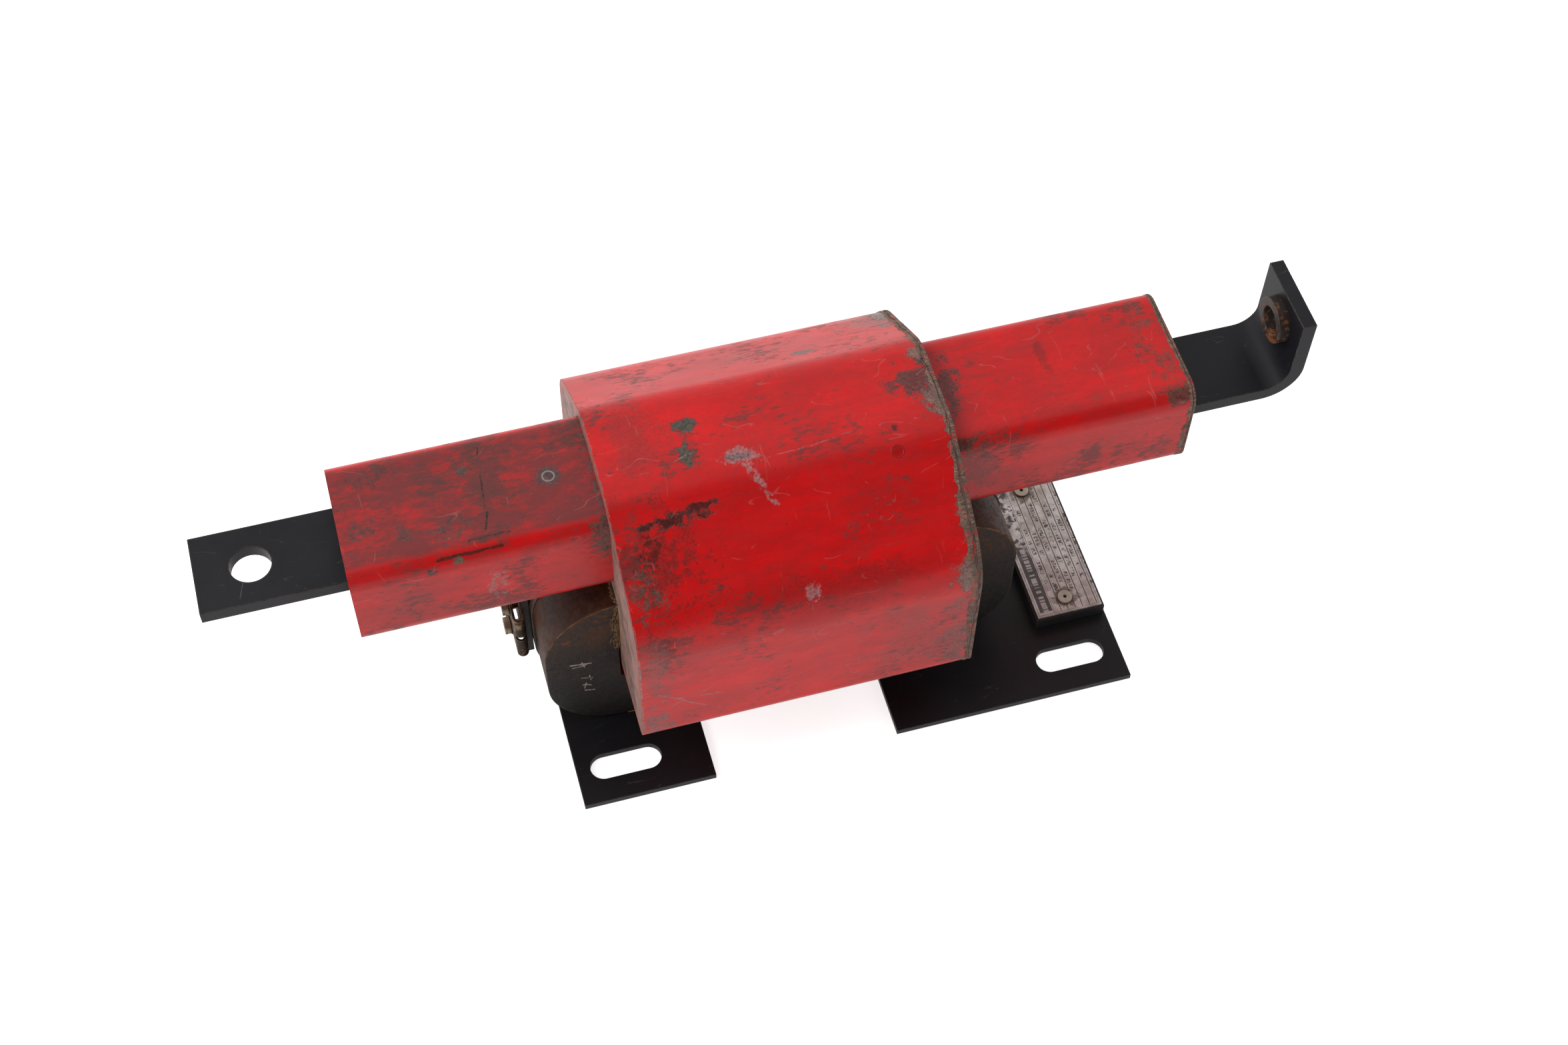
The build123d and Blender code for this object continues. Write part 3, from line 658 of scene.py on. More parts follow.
armLeftLow, armLeftHigh = (Vector(corner) * 1000 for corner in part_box("arm_tube_left"))
armRightLow, armRightHigh = (Vector(corner) * 1000 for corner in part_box("arm_tube_right"))
armLeftMarks = [
    spot((-120.2, -0.7, 153.5), (5.4, 5.0, 4), (0.075, 0.068, 0.07), 0.85, ragged=0.25, grain=0.4),
    spot((-154, 11, 153.5), (2.6, 2.4, 3), (0.1, 0.07, 0.06), 0.85, ragged=0.5, grain=0.4),
    streak(
        (-145.6, 21, 153.5), (-149, -12, 153.5), 0.7, darkBrown, 0.9, waver=1.5, grain=0.2,
        broken=0.25, lift=-0.1
    ),
    streak((-148, -12, 153.5), (-150.5, -20, 153.5), 0.9, darkBrown, 0.9, waver=1.5, grain=0.2, lift=-0.1),
    spot((-163, -15.5, 153.5), (8, 6, 5), (0.1, 0.055, 0.05), 0.75, ragged=0.9, grain=0.14, broken=0.4),
    spot((-181, -14, 153.5), (6, 4, 5), (0.1, 0.055, 0.05), 0.7, ragged=0.9, grain=0.14, broken=0.4),
    spot((-199, -9, 153.5), (6, 5, 5), (0.1, 0.055, 0.05), 0.75, ragged=0.9, grain=0.14, broken=0.4),
    spot((-192, 17, 153.5), (7, 5, 5), (0.1, 0.045, 0.04), 0.7, ragged=0.9, grain=0.14, broken=0.4),
    spot((-149.4, -31, 129.5), (4.2, 5, 9), (0.36, 0.2, 0.18), 0.65, ragged=0.9, grain=0.35, broken=0.5),
    streak((-172, -28.5, 151), (-145.5, -28, 151.2), 1.2, darkBrown, 0.8, waver=1.5, grain=0.15, lift=-0.1),
    streak(
        (-158, -24, 153.3), (-141, -23.5, 153.4), 0.9, darkBrown, 0.75, waver=2.0, grain=0.2,
        broken=0.3, lift=-0.1
    ),
    spot((-175.4, -30.6, 147), (2.4, 2, 1.8), (0.08, 0.06, 0.05), 0.9, ragged=0.8, grain=0.5),
    spot((-164, -29.5, 149.5), (2, 2, 2.4), (0.16, 0.12, 0.09), 0.9, ragged=0.9, grain=0.5),
    streak(
        (-102.4, 24, 153.3), (-102.4, -22, 153.5), 1.5, (0.12, 0.085, 0.075), 0.8, waver=2.2,
        grain=0.2, broken=0.12
    ),
    streak((-101.6, 30, 152), (-101.6, -31, 150), 0.7, (0.015, 0.01, 0.009), 0.9, waver=0.4, grain=0.3),
    spot((-103, -29.5, 146), (4.8, 7, 14), (0.13, 0.09, 0.075), 0.85, ragged=0.8, grain=0.2, speckle=3.5),
    streak((-102.6, -27, 152.3), (-102.6, -31, 132), 1.9, (0.11, 0.075, 0.06), 0.75, waver=3.0, grain=0.2),
]
armLeftEnds = [
    {
        "place": armLeftLow.x,
        "width": -0.2,
        "ragged": 2.2,
        "strength": 0.85,
        "dark": (0.05, 0.03, 0.025),
        "light": (0.2, 0.1, 0.09),
    },
]
armRightMarks = [
    spot((146, 16, 153.5), (8, 8, 6), brownGrey, 0.6, ragged=0.9, grain=0.14, broken=0.3),
    spot((149, -10, 153.5), (7, 12, 6), brownGrey, 0.5, ragged=1.0, grain=0.14, broken=0.3),
    spot((148.7, -27.5, 151.5), (8, 4, 4), brownGrey, 0.85, ragged=0.8, grain=0.16, lift=-0.05),
    spot((53, -28.5, 149.7), (8, 4, 5), brownGrey, 0.85, ragged=0.8, grain=0.2, speckle=3.5),
    spot((56, -31, 132), (12, 3, 14), (0.15, 0.06, 0.055), 0.5, ragged=1.0, grain=0.12, speckle=5.0),
    spot((53, 2, 153.5), (6.5, 13, 4), (0.085, 0.055, 0.05), 0.8, ragged=1.0, grain=0.16, speckle=4.0),
    spot((50, 30, 152), (5, 3, 4), brownGrey, 0.8, ragged=0.6, grain=0.3),
    spot((98.7, 7.5, 153.5), (2.4, 9, 4), darkBrown, 0.35, ragged=0.8, grain=0.16),
]
armRightEnds = [
    {
        "place": armRightHigh.x,
        "width": 1.6,
        "ragged": 8.0,
        "strength": 0.9,
        "dark": (0.07, 0.05, 0.04),
        "light": (0.22, 0.16, 0.13),
    },
]
ringOnArm = [
    {
        "centre": (-120.2, -0.7, 153.5),
        "radius": 2.5,
        "width": 0.5,
        "colour": (0.26, 0.22, 0.2),
        "strength": 0.85,
        "lift": -0.1,
    },
]
# the upward face of the left arm is made darker
armDarkerTop = {"low": 152.0, "high": 153.45}
armLeftRed = enamel("armLeftRed", redEnamel, armLeftMarks, ringOnArm, armLeftEnds, 1.4, armDarkerTop)
armRightRed = enamel("armRightRed", redEnamel, armRightMarks, [], armRightEnds, 1.15)


def dress(material, *names):
    for name in names:
        target = nodes[name].data.materials
        target.clear()
        target.append(material)


dress(housingRed, "housing_shell")
dress(armLeftRed, "arm_tube_left")
dress(armRightRed, "arm_tube_right")


# a base with cloudy tone, grain, stains and scratches, rubbed bare along its edges
def workedSurface(name, values):
    material, tree, shader, millimetres = newMaterial(name)
    shader.inputs["Specular IOR Level"].default_value = values.get("specular", 0.5)
    grainVector = stretch(tree, millimetres, values.get("grainStretch", (1, 1, 1)))
    grain = noise(tree, grainVector, values["grainScale"], 5.0, 0.65)
    cloud = cloudMask(tree, millimetres, values["cloudScale"], 0.5, 0.15)
    colour = between(tree, cloud, values["colour"], values["second"])
    colour = lay(tree, colour, grain, values["grainTint"], values["grainColour"])
    stains = cloudMask(tree, grainVector, values["stainScale"], values["stainCover"], 0.06, 0.7)
    stains = calc(tree, "MULTIPLY", stains, values["stainStrength"])
    colour = lay(tree, colour, stains, values["stain"])
    height = calc(tree, "MULTIPLY", grain, values["grainHeight"])
    height = calc(tree, "MULTIPLY_ADD", stains, values.get("stainHeight", 0.0), height)
    colour, height = layMarks(tree, millimetres, values.get("marks", []), colour, height)
    slanted = stretch(tree, millimetres, (0.3, 1, 1), (0, 0, 0.5))
    inputs = {"Vector": slanted, "Scale": 0.12, "Width": 0.008, "Cover": values["scratchCover"]}
    scratches = use(tree, hairlines, inputs)["Mask"]
    colour = lay(tree, colour, scratches, values["rubbed"], values["scratchStrength"])
    edge = use(tree, edgeRub, {"Radius": values["edgeRadius"], "Low": 0.01, "High": values["edgeHigh"]})
    chips = noise(tree, millimetres, 0.5, 4.0, 0.7)
    rub = calc(tree, "MULTIPLY", edge["Mask"], softStep(tree, chips, 0.62 - values["rubAmount"] * 0.4, 0.66))
    rub = calc(tree, "MULTIPLY", rub, values["rubStrength"])
    colour = lay(tree, colour, rub, values["rubbed"])
    roughness = calc(tree, "MULTIPLY_ADD", stains, 0.2, values["roughness"])
    roughness = calc(tree, "MULTIPLY_ADD", grain, 0.08, roughness)
    finishShader(tree, shader, colour, roughness, height, edge["Normal"], values.get("metallic", 0.0))
    return material


plateBlack = {
    "specular": 0.28,
    "colour": (0.0055, 0.0055, 0.007),
    "second": (0.0085, 0.0083, 0.0100),
    "grainScale": 0.8,
    "grainColour": 0.25,
    "grainTint": (0.014, 0.014, 0.017),
    "grainHeight": 0.012,
    "cloudScale": 0.03,
    "stainScale": 0.35,
    "stainCover": 0.12,
    "stainStrength": 0.5,
    "stain": (0.026, 0.023, 0.022),
    "scratchCover": 0.36,
    "scratchStrength": 0.25,
    "rubbed": (0.12, 0.115, 0.115),
    "edgeRadius": 0.0006,
    "edgeHigh": 0.12,
    "rubAmount": 0.9,
    "rubStrength": 0.7,
    "roughness": 0.36,
}
barBlack = dict(
    plateBlack,
    specular=0.22,
    colour=(0.005, 0.005, 0.008),
    second=(0.0095, 0.009, 0.0125),
    grainTint=(0.019, 0.017, 0.019),
    stain=(0.034, 0.026, 0.022),
    rubbed=(0.16, 0.115, 0.085),
    edgeRadius=0.0009,
    rubStrength=0.8,
    roughness=0.40,
    marks=[
        streak((-253, -15.5, 136), (-250, -5, 136), 0.35, (0.1, 0.095, 0.1), 0.6, waver=0.3),
    ],
)
bushFinish = dict(
    barBlack,
    colour=(0.022, 0.018, 0.017),
    second=(0.035, 0.022, 0.016),
    stain=(0.20, 0.075, 0.028),
    stainScale=0.3,
    stainCover=0.35,
    stainStrength=0.8,
    stainHeight=0.05,
    marks=[
        spot((202.9, -6, 143.5), (4, 6, 4.5), (0.26, 0.085, 0.028), 0.85, ragged=0.9, grain=0.4),
    ],
)
padFinish = dict(
    plateBlack,
    colour=(0.020, 0.018, 0.018),
    second=(0.030, 0.024, 0.022),
    stain=(0.09, 0.065, 0.05),
    stainCover=0.2,
    roughness=0.55,
    rubbed=(0.10, 0.085, 0.075),
)
boardFinish = dict(
    padFinish,
    colour=(0.016, 0.012, 0.010),
    second=(0.028, 0.020, 0.015),
    grainStretch=(1, 1, 0.25),
    roughness=0.45,
)
compoundFinish = dict(
    padFinish,
    colour=(0.020, 0.016, 0.014),
    second=(0.034, 0.026, 0.021),
    grainScale=0.4,
    grainHeight=0.08,
    rubbed=(0.06, 0.045, 0.035),
    roughness=0.6,
)
brassFinish = {
    "colour": (0.24, 0.145, 0.065),
    "second": (0.09, 0.055, 0.032),
    "grainScale": 0.9,
    "grainColour": 0.4,
    "grainTint": (0.20, 0.13, 0.07),
    "grainHeight": 0.015,
    "cloudScale": 0.12,
    "stainScale": 0.22,
    "stainCover": 0.6,
    "stainStrength": 0.9,
    "stain": (0.022, 0.014, 0.010),
    "scratchCover": 0.45,
    "scratchStrength": 0.4,
    "rubbed": (0.72, 0.58, 0.38),
    "edgeRadius": 0.0004,
    "edgeHigh": 0.15,
    "rubAmount": 1.0,
    "rubStrength": 0.85,
    "roughness": 0.42,
    "metallic": 0.75,
}
screwFinish = dict(brassFinish, colour=(0.42, 0.36, 0.27), second=(0.26, 0.21, 0.15), stainCover=0.3)
rivetFinish = dict(
    brassFinish,
    colour=(0.56, 0.50, 0.42),
    second=(0.42, 0.36, 0.28),
    stain=(0.12, 0.085, 0.05),
    stainCover=0.2,
    rubbed=(0.8, 0.76, 0.7),
    stainScale=0.5,
    metallic=0.45,
)
copperFinish = dict(
    brassFinish,
    colour=(0.36, 0.13, 0.055),
    second=(0.24, 0.085, 0.04),
    stain=(0.10, 0.035, 0.018),
    rubbed=(0.75, 0.36, 0.2),
    grainStretch=(3, 0.4, 0.4),
    grainHeight=0.12,
)
paperFinish = dict(
    padFinish,
    colour=(0.30, 0.19, 0.09),
    second=(0.22, 0.13, 0.06),
    grainTint=(0.36, 0.25, 0.13),
    stain=(0.12, 0.06, 0.03),
    rubbed=(0.42, 0.30, 0.18),
    grainScale=1.2,
    grainHeight=0.03,
    roughness=0.7,
)
coverFinish = dict(
    padFinish,
    colour=(0.022, 0.020, 0.018),
    second=(0.034, 0.028, 0.022),
    grainStretch=(1.4, 1.4, 1.4),
    grainScale=1.6,
    grainHeight=0.06,
    rubbed=(0.09, 0.075, 0.06),
    roughness=0.6,
)

dress(workedSurface("plateBlack", plateBlack), "base_plate_left", "base_plate_right")
dress(workedSurface("barBlack", barBlack), "primary_bar_left", "primary_bar_right")
dress(workedSurface("bushRust", bushFinish), "terminal_bush")
dress(workedSurface("padFibre", padFinish), "nameplate_pad")
dress(workedSurface("boardBlack", boardFinish), "terminal_board")
dress(
    workedSurface("compoundBlack", compoundFinish),
    "arm_compound_left",
    "arm_compound_right",
    "coil_compound",
)
dress(
    workedSurface("wornBrass", brassFinish),
    "terminal_clip_upper",
    "terminal_clip_lower",
    "terminal_washers",
    "terminal_nuts",
)
dress(workedSurface("screwBrass", screwFinish), "terminal_screw_upper", "terminal_screw_lower")
dress(workedSurface("rivetMetal", rivetFinish), "nameplate_rivets")
dress(
    workedSurface("windingCopper", copperFinish),
    "primary_coil",
    "secondary_coil",
    "primary_lead_left",
    "primary_lead_right",
)
dress(
    workedSurface("pressboard", paperFinish),
    "core_barrier_tube",
    "winding_barrier",
    "core_pads_left",
    "core_pads_right",
)
dress(workedSurface("leadBraid", coverFinish), "secondary_lead_upper", "secondary_lead_lower")
print("plain finishes laid")


coreLow = Vector(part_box("core_half_left")[0]) * 1000
coreHigh = Vector(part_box("core_half_right")[1]) * 1000
coreMiddle = (coreLow + coreHigh) / 2
coreHalf = (coreHigh - coreLow) / 2
coreFinish = {
    "outerRadius": 35.0,
    "face": (0.012, 0.0095, 0.009),
    "faceLight": (0.028, 0.022, 0.019),
    "wrap": (0.028, 0.0095, 0.0045),
    "wrapLight": (0.072, 0.024, 0.008),
    "faceBrown": (0.042, 0.026, 0.019),
    # painted highlight: the light line along the upper rim of the core's faces
    "rimHighlight": (0.24, 0.105, 0.040),
    "rust": (0.17, 0.058, 0.018),
    "slate": (0.013, 0.0135, 0.015),
    "fibre": (0.36, 0.20, 0.085),
    "fibreDark": (0.10, 0.06, 0.03),
    "streak": (0.012, 0.008, 0.006),
    "edge": (0.13, 0.075, 0.045),
    "chalk": (0.62, 0.54, 0.47),
    "faceY": -34.3,  # just outside the front face
    "roughness": 0.50,
}


def coreMaterial(name, values):
    # strip edges follow the distance inside a rounded rectangle: the corner-box distance of Object X and Z
    material, tree, shader, millimetres = newMaterial(name)
    shader.inputs["Specular IOR Level"].default_value = 0.20
    away = calcVector(tree, "ABSOLUTE", calcVector(tree, "SUBTRACT", millimetres, tuple(coreMiddle)))
    parts = split(tree, away)
    radius = values["outerRadius"]
    overX = calc(tree, "SUBTRACT", parts["X"], coreHalf.x - radius)
    overZ = calc(tree, "SUBTRACT", parts["Z"], coreHalf.z - radius)
    corner = join(tree, X=calc(tree, "MAXIMUM", overX, 0.0), Z=calc(tree, "MAXIMUM", overZ, 0.0))
    inside = calc(tree, "MINIMUM", calc(tree, "MAXIMUM", overX, overZ), 0.0)
    depth = calc(tree, "SUBTRACT", radius, calc(tree, "ADD", calcVector(tree, "LENGTH", corner), inside))
    plies = join(tree, X=depth, Y=scaleY(tree, millimetres, 0.01))
    ply = noise(tree, plies, 1.6, 3.0, 0.7)
    normal = split(tree, addNode(tree, "ShaderNodeNewGeometry").outputs["True Normal"])["Y"]
    isFace = softStep(tree, calc(tree, "ABSOLUTE", normal), 0.4, 0.8)
    broad = cloudMask(tree, millimetres, 0.05, 0.5, 0.12)
    face = between(tree, calc(tree, "MULTIPLY", ply, 0.9), values["face"], values["faceLight"])
    height = split(tree, millimetres)["Z"]
    low = softStep(tree, height, 52.0, 30.0)
    face = lay(tree, face, low, values["slate"], 0.7)
    rustSpots = cloudMask(tree, millimetres, 0.35, 0.42, 0.09, 0.85)
    faceRust = calc(tree, "MULTIPLY", rustSpots, softStep(tree, height, 58.0, 80.0))
    face = lay(tree, face, faceRust, values["rust"], 0.85)
    cloudy = noise(tree, millimetres, 0.3, 6.0, 0.8)
    grey = softStep(tree, cloudy, 0.42, 0.66)
    face = lay(tree, face, grey, values["faceBrown"], 0.55)
    # painted highlight: a light line along the face's upper rim, where the edge would catch the light
    paintedRimHighlight = calc(tree, "MULTIPLY", softStep(tree, depth, 1.3, 0.5), softStep(tree, cloudy, 0.42, 0.58))
    paintedRimHighlight = calc(tree, "MULTIPLY", paintedRimHighlight, softStep(tree, height, 55.0, 76.0))
    face = lay(tree, face, paintedRimHighlight, values["rimHighlight"], 0.9)
    wrap = between(tree, broad, values["wrap"], values["wrapLight"])
    wrap = lay(tree, wrap, rustSpots, values["rust"], 0.35)
    streaks = noise(tree, stretch(tree, millimetres, (0.1, 1.5, 0.1)), 0.6, 4.0, 0.6)
    wrap = lay(tree, wrap, streaks, values["streak"], 0.5)
    colour = blend(tree, isFace, wrap, face)
    bump = calc(tree, "MULTIPLY", ply, calc(tree, "MULTIPLY", isFace, 0.10))
    bump = calc(tree, "MULTIPLY_ADD", rustSpots, 0.05, bump)
    bump = calc(tree, "MULTIPLY_ADD", noise(tree, millimetres, 0.35, 5.0, 0.7), 0.14, bump)
    fromMiddle = apart(tree, split(tree, millimetres)["X"], coreMiddle.x)
    entry = calc(tree, "SUBTRACT", fromMiddle, shellHalf)
    fuzz = noise(tree, stretch(tree, millimetres, (0.4, 1, 1)), 0.9, 5.0, 0.75)
    strands = calc(tree, "MULTIPLY_ADD", calc(tree, "SUBTRACT", fuzz, 0.5), -6.0, entry)
    fuzzMask = softStep(tree, strands, 1.1, 0.2)
    fuzzMask = calc(tree, "MULTIPLY", fuzzMask, softStep(tree, height, 56.0, 66.0))
    fuzzColour = between(tree, fuzz, values["fibreDark"], values["fibre"])
    colour = blend(tree, calc(tree, "MULTIPLY", fuzzMask, 0.65), colour, fuzzColour)
    bump = calc(tree, "MULTIPLY_ADD", fuzzMask, 0.3, bump)
    chalk = values["chalk"]
    faceY = values["faceY"]
    marks = [
        streak((-124.5, faceY, 55.5), (-115, faceY, 54), 0.55, chalk, 0.87, waver=1.5, grain=0.5),
        streak((-123.5, faceY, 52.8), (-117, faceY, 53.4), 0.49, chalk, 0.82, waver=1.5, grain=0.5),
        streak((-119, faceY, 56.2), (-118, faceY, 52), 0.42, chalk, 0.72, waver=1.0, grain=0.5),
        streak((-120, faceY, 43.2), (-115, faceY, 41.4), 0.49, chalk, 0.77, waver=1.8, grain=0.5),
        streak((-116.2, faceY, 44), (-115.6, faceY, 40), 0.42, chalk, 0.72, waver=1.0, grain=0.5),
        streak((-119.8, faceY, 37), (-115.8, faceY, 35.4), 0.47, chalk, 0.72, waver=1.8, grain=0.5),
        streak((-118, faceY, 38), (-119, faceY, 33.8), 0.42, chalk, 0.67, waver=1.2, grain=0.5),
        streak((-119, faceY, 32), (-114.4, faceY, 30.8), 0.44, chalk, 0.62, waver=1.5, grain=0.5),
        spot((-112, faceY, 74), (5, 2, 8), (0.13, 0.042, 0.014), 0.42, ragged=1.0, grain=0.5, speckle=5.0),
        streak(
            (-126.2, faceY, 74.5), (-123.6, faceY, 75.5), 1.3, (0.2, 0.065, 0.022), 0.85,
            waver=0.8, grain=0.4
        ),
    ]
    colour, bump = layMarks(tree, millimetres, marks, colour, bump)
    edge = use(tree, edgeRub, {"Radius": 0.0012, "Low": 0.02, "High": 0.3})
    colour = lay(tree, colour, edge["Mask"], values["edge"], 0.6)
    roughness = calc(tree, "MULTIPLY_ADD", rustSpots, 0.25, values["roughness"])
    finishShader(tree, shader, colour, roughness, bump, edge["Normal"])
    return material


shellHalf = (shellHigh.x - shellLow.x) / 2
dress(coreMaterial("woundCore", coreFinish), "core_half_left", "core_half_right")
bandFinish = dict(
    plateBlack,
    colour=(0.030, 0.026, 0.024),
    second=(0.050, 0.034, 0.024),
    stain=(0.16, 0.065, 0.028),
    stainCover=0.35,
    stainStrength=0.7,
    rubbed=(0.22, 0.17, 0.13),
    roughness=0.42,
)
dress(workedSurface("bandSteel", bandFinish), "core_band", "band_seal")
print("core dressed")


wallFinish = {
    "light": (0.38, 0.20, 0.165),
    "dark": (0.15, 0.072, 0.056),
    "grime": (0.07, 0.045, 0.035),
    "roughness": 0.62,
}


def outlineDepth(tree, millimetres):
    # depth under the nearest of the housing's flat sides: the side, the shoulder, the top or the underside
    parts = split(tree, millimetres)
    side = calc(tree, "ABSOLUTE", parts["Y"])
    fromSide = calc(tree, "SUBTRACT", shellHigh.y, side)
    fromTop = calc(tree, "SUBTRACT", shellHigh.z, parts["Z"])
    flat = housingShape["flatTop"] / 2
    drop = housingShape["shoulderDrop"]
    run = shellHigh.y - flat
    slope = math.hypot(drop, run)
    pastFlat = calc(tree, "SUBTRACT", side, flat)
    sunk = calc(tree, "MULTIPLY", fromTop, run / slope)
    fromShoulder = calc(tree, "MULTIPLY_ADD", pastFlat, -drop / slope, sunk)
    fromLow = calc(tree, "SUBTRACT", parts["Z"], shellLow.z)
    nearest = calc(tree, "MINIMUM", calc(tree, "MINIMUM", fromSide, fromTop), fromShoulder)
    return calc(tree, "MINIMUM", nearest, fromLow)


def laminate(name, values):
    # plies lie at equal depths under the outline, bent a little by a broad noise
    material, tree, shader, millimetres = newMaterial(name)
    depth = outlineDepth(tree, millimetres)
    wobble = noise(tree, millimetres, 0.04, 2.0)
    bent = calc(tree, "MULTIPLY_ADD", wobble, 3.0, depth)
    layered = join(tree, X=bent, Y=scaleY(tree, millimetres, 0.05))
    plies = noise(tree, layered, 1.3, 3.0, 0.65)
    colour = between(tree, softStep(tree, plies, 0.35, 0.65), values["dark"], values["light"])
    dirt = cloudMask(tree, millimetres, 0.08, 0.45, 0.1, 0.7)
    colour = lay(tree, colour, dirt, values["grime"], 0.75)
    edge = use(tree, edgeRub, {"Radius": 0.0008, "Low": 0.02, "High": 0.2})
    height = calc(tree, "MULTIPLY", plies, 0.15)
    height = calc(tree, "MULTIPLY_ADD", noise(tree, millimetres, 0.6, 5.0, 0.7), 0.1, height)
    finishShader(tree, shader, colour, values["roughness"], height, edge["Normal"])
    return material


dress(laminate("wallLaminate", wallFinish), "end_wall_left", "end_wall_right")
print("end walls dressed")


plateLow, plateHigh = (Vector(corner) * 1000 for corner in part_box("nameplate"))
plateFinish = {
    "metal": (0.69, 0.64, 0.62),
    "dull": (0.43, 0.36, 0.33),
    "ink": (0.030, 0.024, 0.023),
    "stain": (0.11, 0.07, 0.05),
    "headerMiddle": 4.9,  # from the edge with the lowest X
    "headerHalf": 3.15,
    "blockHalf": 1.35,
    "linesFrom": 8.4,
    "lineStep": 3.55,
    "frameInset": 0.9,
    "rivetPlace": (113.25, 31.75, 10.4),
    "rivetRing": (0.14, 0.085, 0.045),
    "rivetDirt": (0.06, 0.036, 0.02),
    "roughness": 0.42,
}


def nameplateMaterial(name, values):
    # ruled lines and short dashes run along Y; the dark header is the strip with the lowest X
    material, tree, shader, millimetres = newMaterial(name)
    parts = split(tree, millimetres)
    across = calc(tree, "SUBTRACT", parts["X"], plateLow.x)
    wide = plateHigh.x - plateLow.x
    along = calc(tree, "SUBTRACT", parts["Y"], plateLow.y)
    deep = plateHigh.y - plateLow.y
    cloud = cloudMask(tree, millimetres, 0.12, 0.5, 0.12, 0.7)
    colour = between(tree, cloud, values["metal"], values["dull"])
    fine = noise(tree, stretch(tree, millimetres, (1, 0.08, 1)), 2.2, 4.0, 0.6)
    colour = lay(tree, colour, fine, values["dull"], 0.35)
    toSide = calc(tree, "MINIMUM", across, calc(tree, "SUBTRACT", wide, across))
    toEnd = calc(tree, "MINIMUM", along, calc(tree, "SUBTRACT", deep, along))
    toEdge = calc(tree, "MINIMUM", toSide, toEnd)
    fromHeader = apart(tree, across, values["headerMiddle"])
    header = softStep(tree, fromHeader, values["headerHalf"], values["headerHalf"] - 0.15)
    header = calc(tree, "MULTIPLY", header, softStep(tree, toEnd, 2.4, 2.6))
    # light blocks of uneven length down the middle of the header, in place of a name
    blocks = join(tree, X=3.0, Y=along)
    block = softStep(tree, noise(tree, blocks, 0.62, 1.0), 0.44, 0.47)
    inHeader = softStep(tree, fromHeader, values["blockHalf"], values["blockHalf"] - 0.2)
    block = calc(tree, "MULTIPLY", block, inHeader)
    block = calc(tree, "MULTIPLY", block, softStep(tree, along, 44.0, 38.0))
    header = calc(tree, "MULTIPLY", header, calc(tree, "MULTIPLY_ADD", block, -0.75, 1.0))
    peeled = cloudMask(tree, millimetres, 0.2, 0.52, 0.03, 0.7)
    peeled = calc(tree, "MULTIPLY", peeled, softStep(tree, along, 30.0, 48.0))
    header = calc(tree, "MULTIPLY", header, calc(tree, "SUBTRACT", 1.0, peeled))
    step = calc(tree, "DIVIDE", calc(tree, "SUBTRACT", across, values["linesFrom"]), values["lineStep"])
    fraction = calc(tree, "FRACT", step)
    row = calc(tree, "FLOOR", step)
    ruled = softStep(tree, apart(tree, fraction, 0.5), 0.42, 0.455)
    # short upright ticks grouped into runs, in place of lettering
    cells = join(tree, X=row, Y=calc(tree, "MULTIPLY", along, 0.2))
    runs = softStep(tree, noise(tree, cells, 1.3, 0.0), 0.47, 0.50)
    tickPlace = join(tree, X=calc(tree, "MULTIPLY", across, 0.35), Y=along, Z=row)
    ticks = softStep(tree, noise(tree, tickPlace, 1.5, 2.0, 0.6), 0.48, 0.54)
    inRow = softStep(tree, apart(tree, fraction, 0.5), 0.30, 0.24)
    text = calc(tree, "MULTIPLY", calc(tree, "MULTIPLY", runs, ticks), inRow)
    text = calc(tree, "MULTIPLY", text, softStep(tree, toEnd, 11.0, 11.5))
    inside = calc(tree, "MULTIPLY", softStep(tree, across, 8.3, 8.5), softStep(tree, toEnd, 1.2, 1.4))
    ink = calc(tree, "MULTIPLY", calc(tree, "MAXIMUM", ruled, text), inside)
    ink = calc(tree, "MAXIMUM", ink, header)
    frameLine = softStep(tree, apart(tree, toEdge, values["frameInset"]), 0.22, 0.1)
    ink = calc(tree, "MAXIMUM", ink, calc(tree, "MULTIPLY", frameLine, 0.6))
    rubbed = noise(tree, millimetres, 0.5, 5.0, 0.7)
    ink = calc(tree, "MULTIPLY", ink, softStep(tree, rubbed, 0.80, 0.58))
    colour = lay(tree, colour, ink, values["ink"], 0.9)
    stainMask = cloudMask(tree, millimetres, 0.16, 0.24, 0.08, 0.8)
    colour = lay(tree, colour, stainMask, values["stain"], 0.42)
    height = calc(tree, "MULTIPLY", ink, -0.03)
    height = calc(tree, "MULTIPLY_ADD", noise(tree, millimetres, 0.08, 2.0), 0.5, height)
    marks = []
    x, y, z = values["rivetPlace"]
    for place in ((x, -y, z), (x, y, z)):
        marks.append(spot(place, (6, 6, 4), values["rivetRing"], 0.75, ragged=0.6, grain=0.2, speckle=1.6))
        marks.append(spot(place, (4.4, 4.4, 3), values["rivetDirt"], 0.7, ragged=0.2, grain=0.3, speckle=0.8))
    colour, height = layMarks(tree, millimetres, marks, colour, height)
    metallic = calc(tree, "MULTIPLY_ADD", calc(tree, "MAXIMUM", ink, stainMask), -0.5, 0.55, clamp=True)
    edge = use(tree, edgeRub, {"Radius": 0.0004, "Low": 0.02, "High": 0.2})
    roughness = calc(tree, "MULTIPLY_ADD", stainMask, 0.25, values["roughness"])
    finishShader(tree, shader, colour, roughness, height, edge["Normal"], metallic)
    return material


dress(nameplateMaterial("nameplateMetal", plateFinish), "nameplate")
print("nameplate dressed")


def waves(count, harmonics, falloff, seed):
    # a closed run of numbers: a sum of sines that weaken as they turn faster, scaled to a spread of one
    source = np.random.default_rng(seed)
    turns = np.arange(1, harmonics + 1)
    phase = source.uniform(0, 2 * np.pi, harmonics)
    size = source.normal(0, 1, harmonics) / turns**falloff
    along = np.linspace(0, 2 * np.pi, count, endpoint=False)
    total = (size * np.sin(np.outer(along, turns) + phase)).sum(axis=1)
    return total / np.sqrt((size**2).sum() / 2)


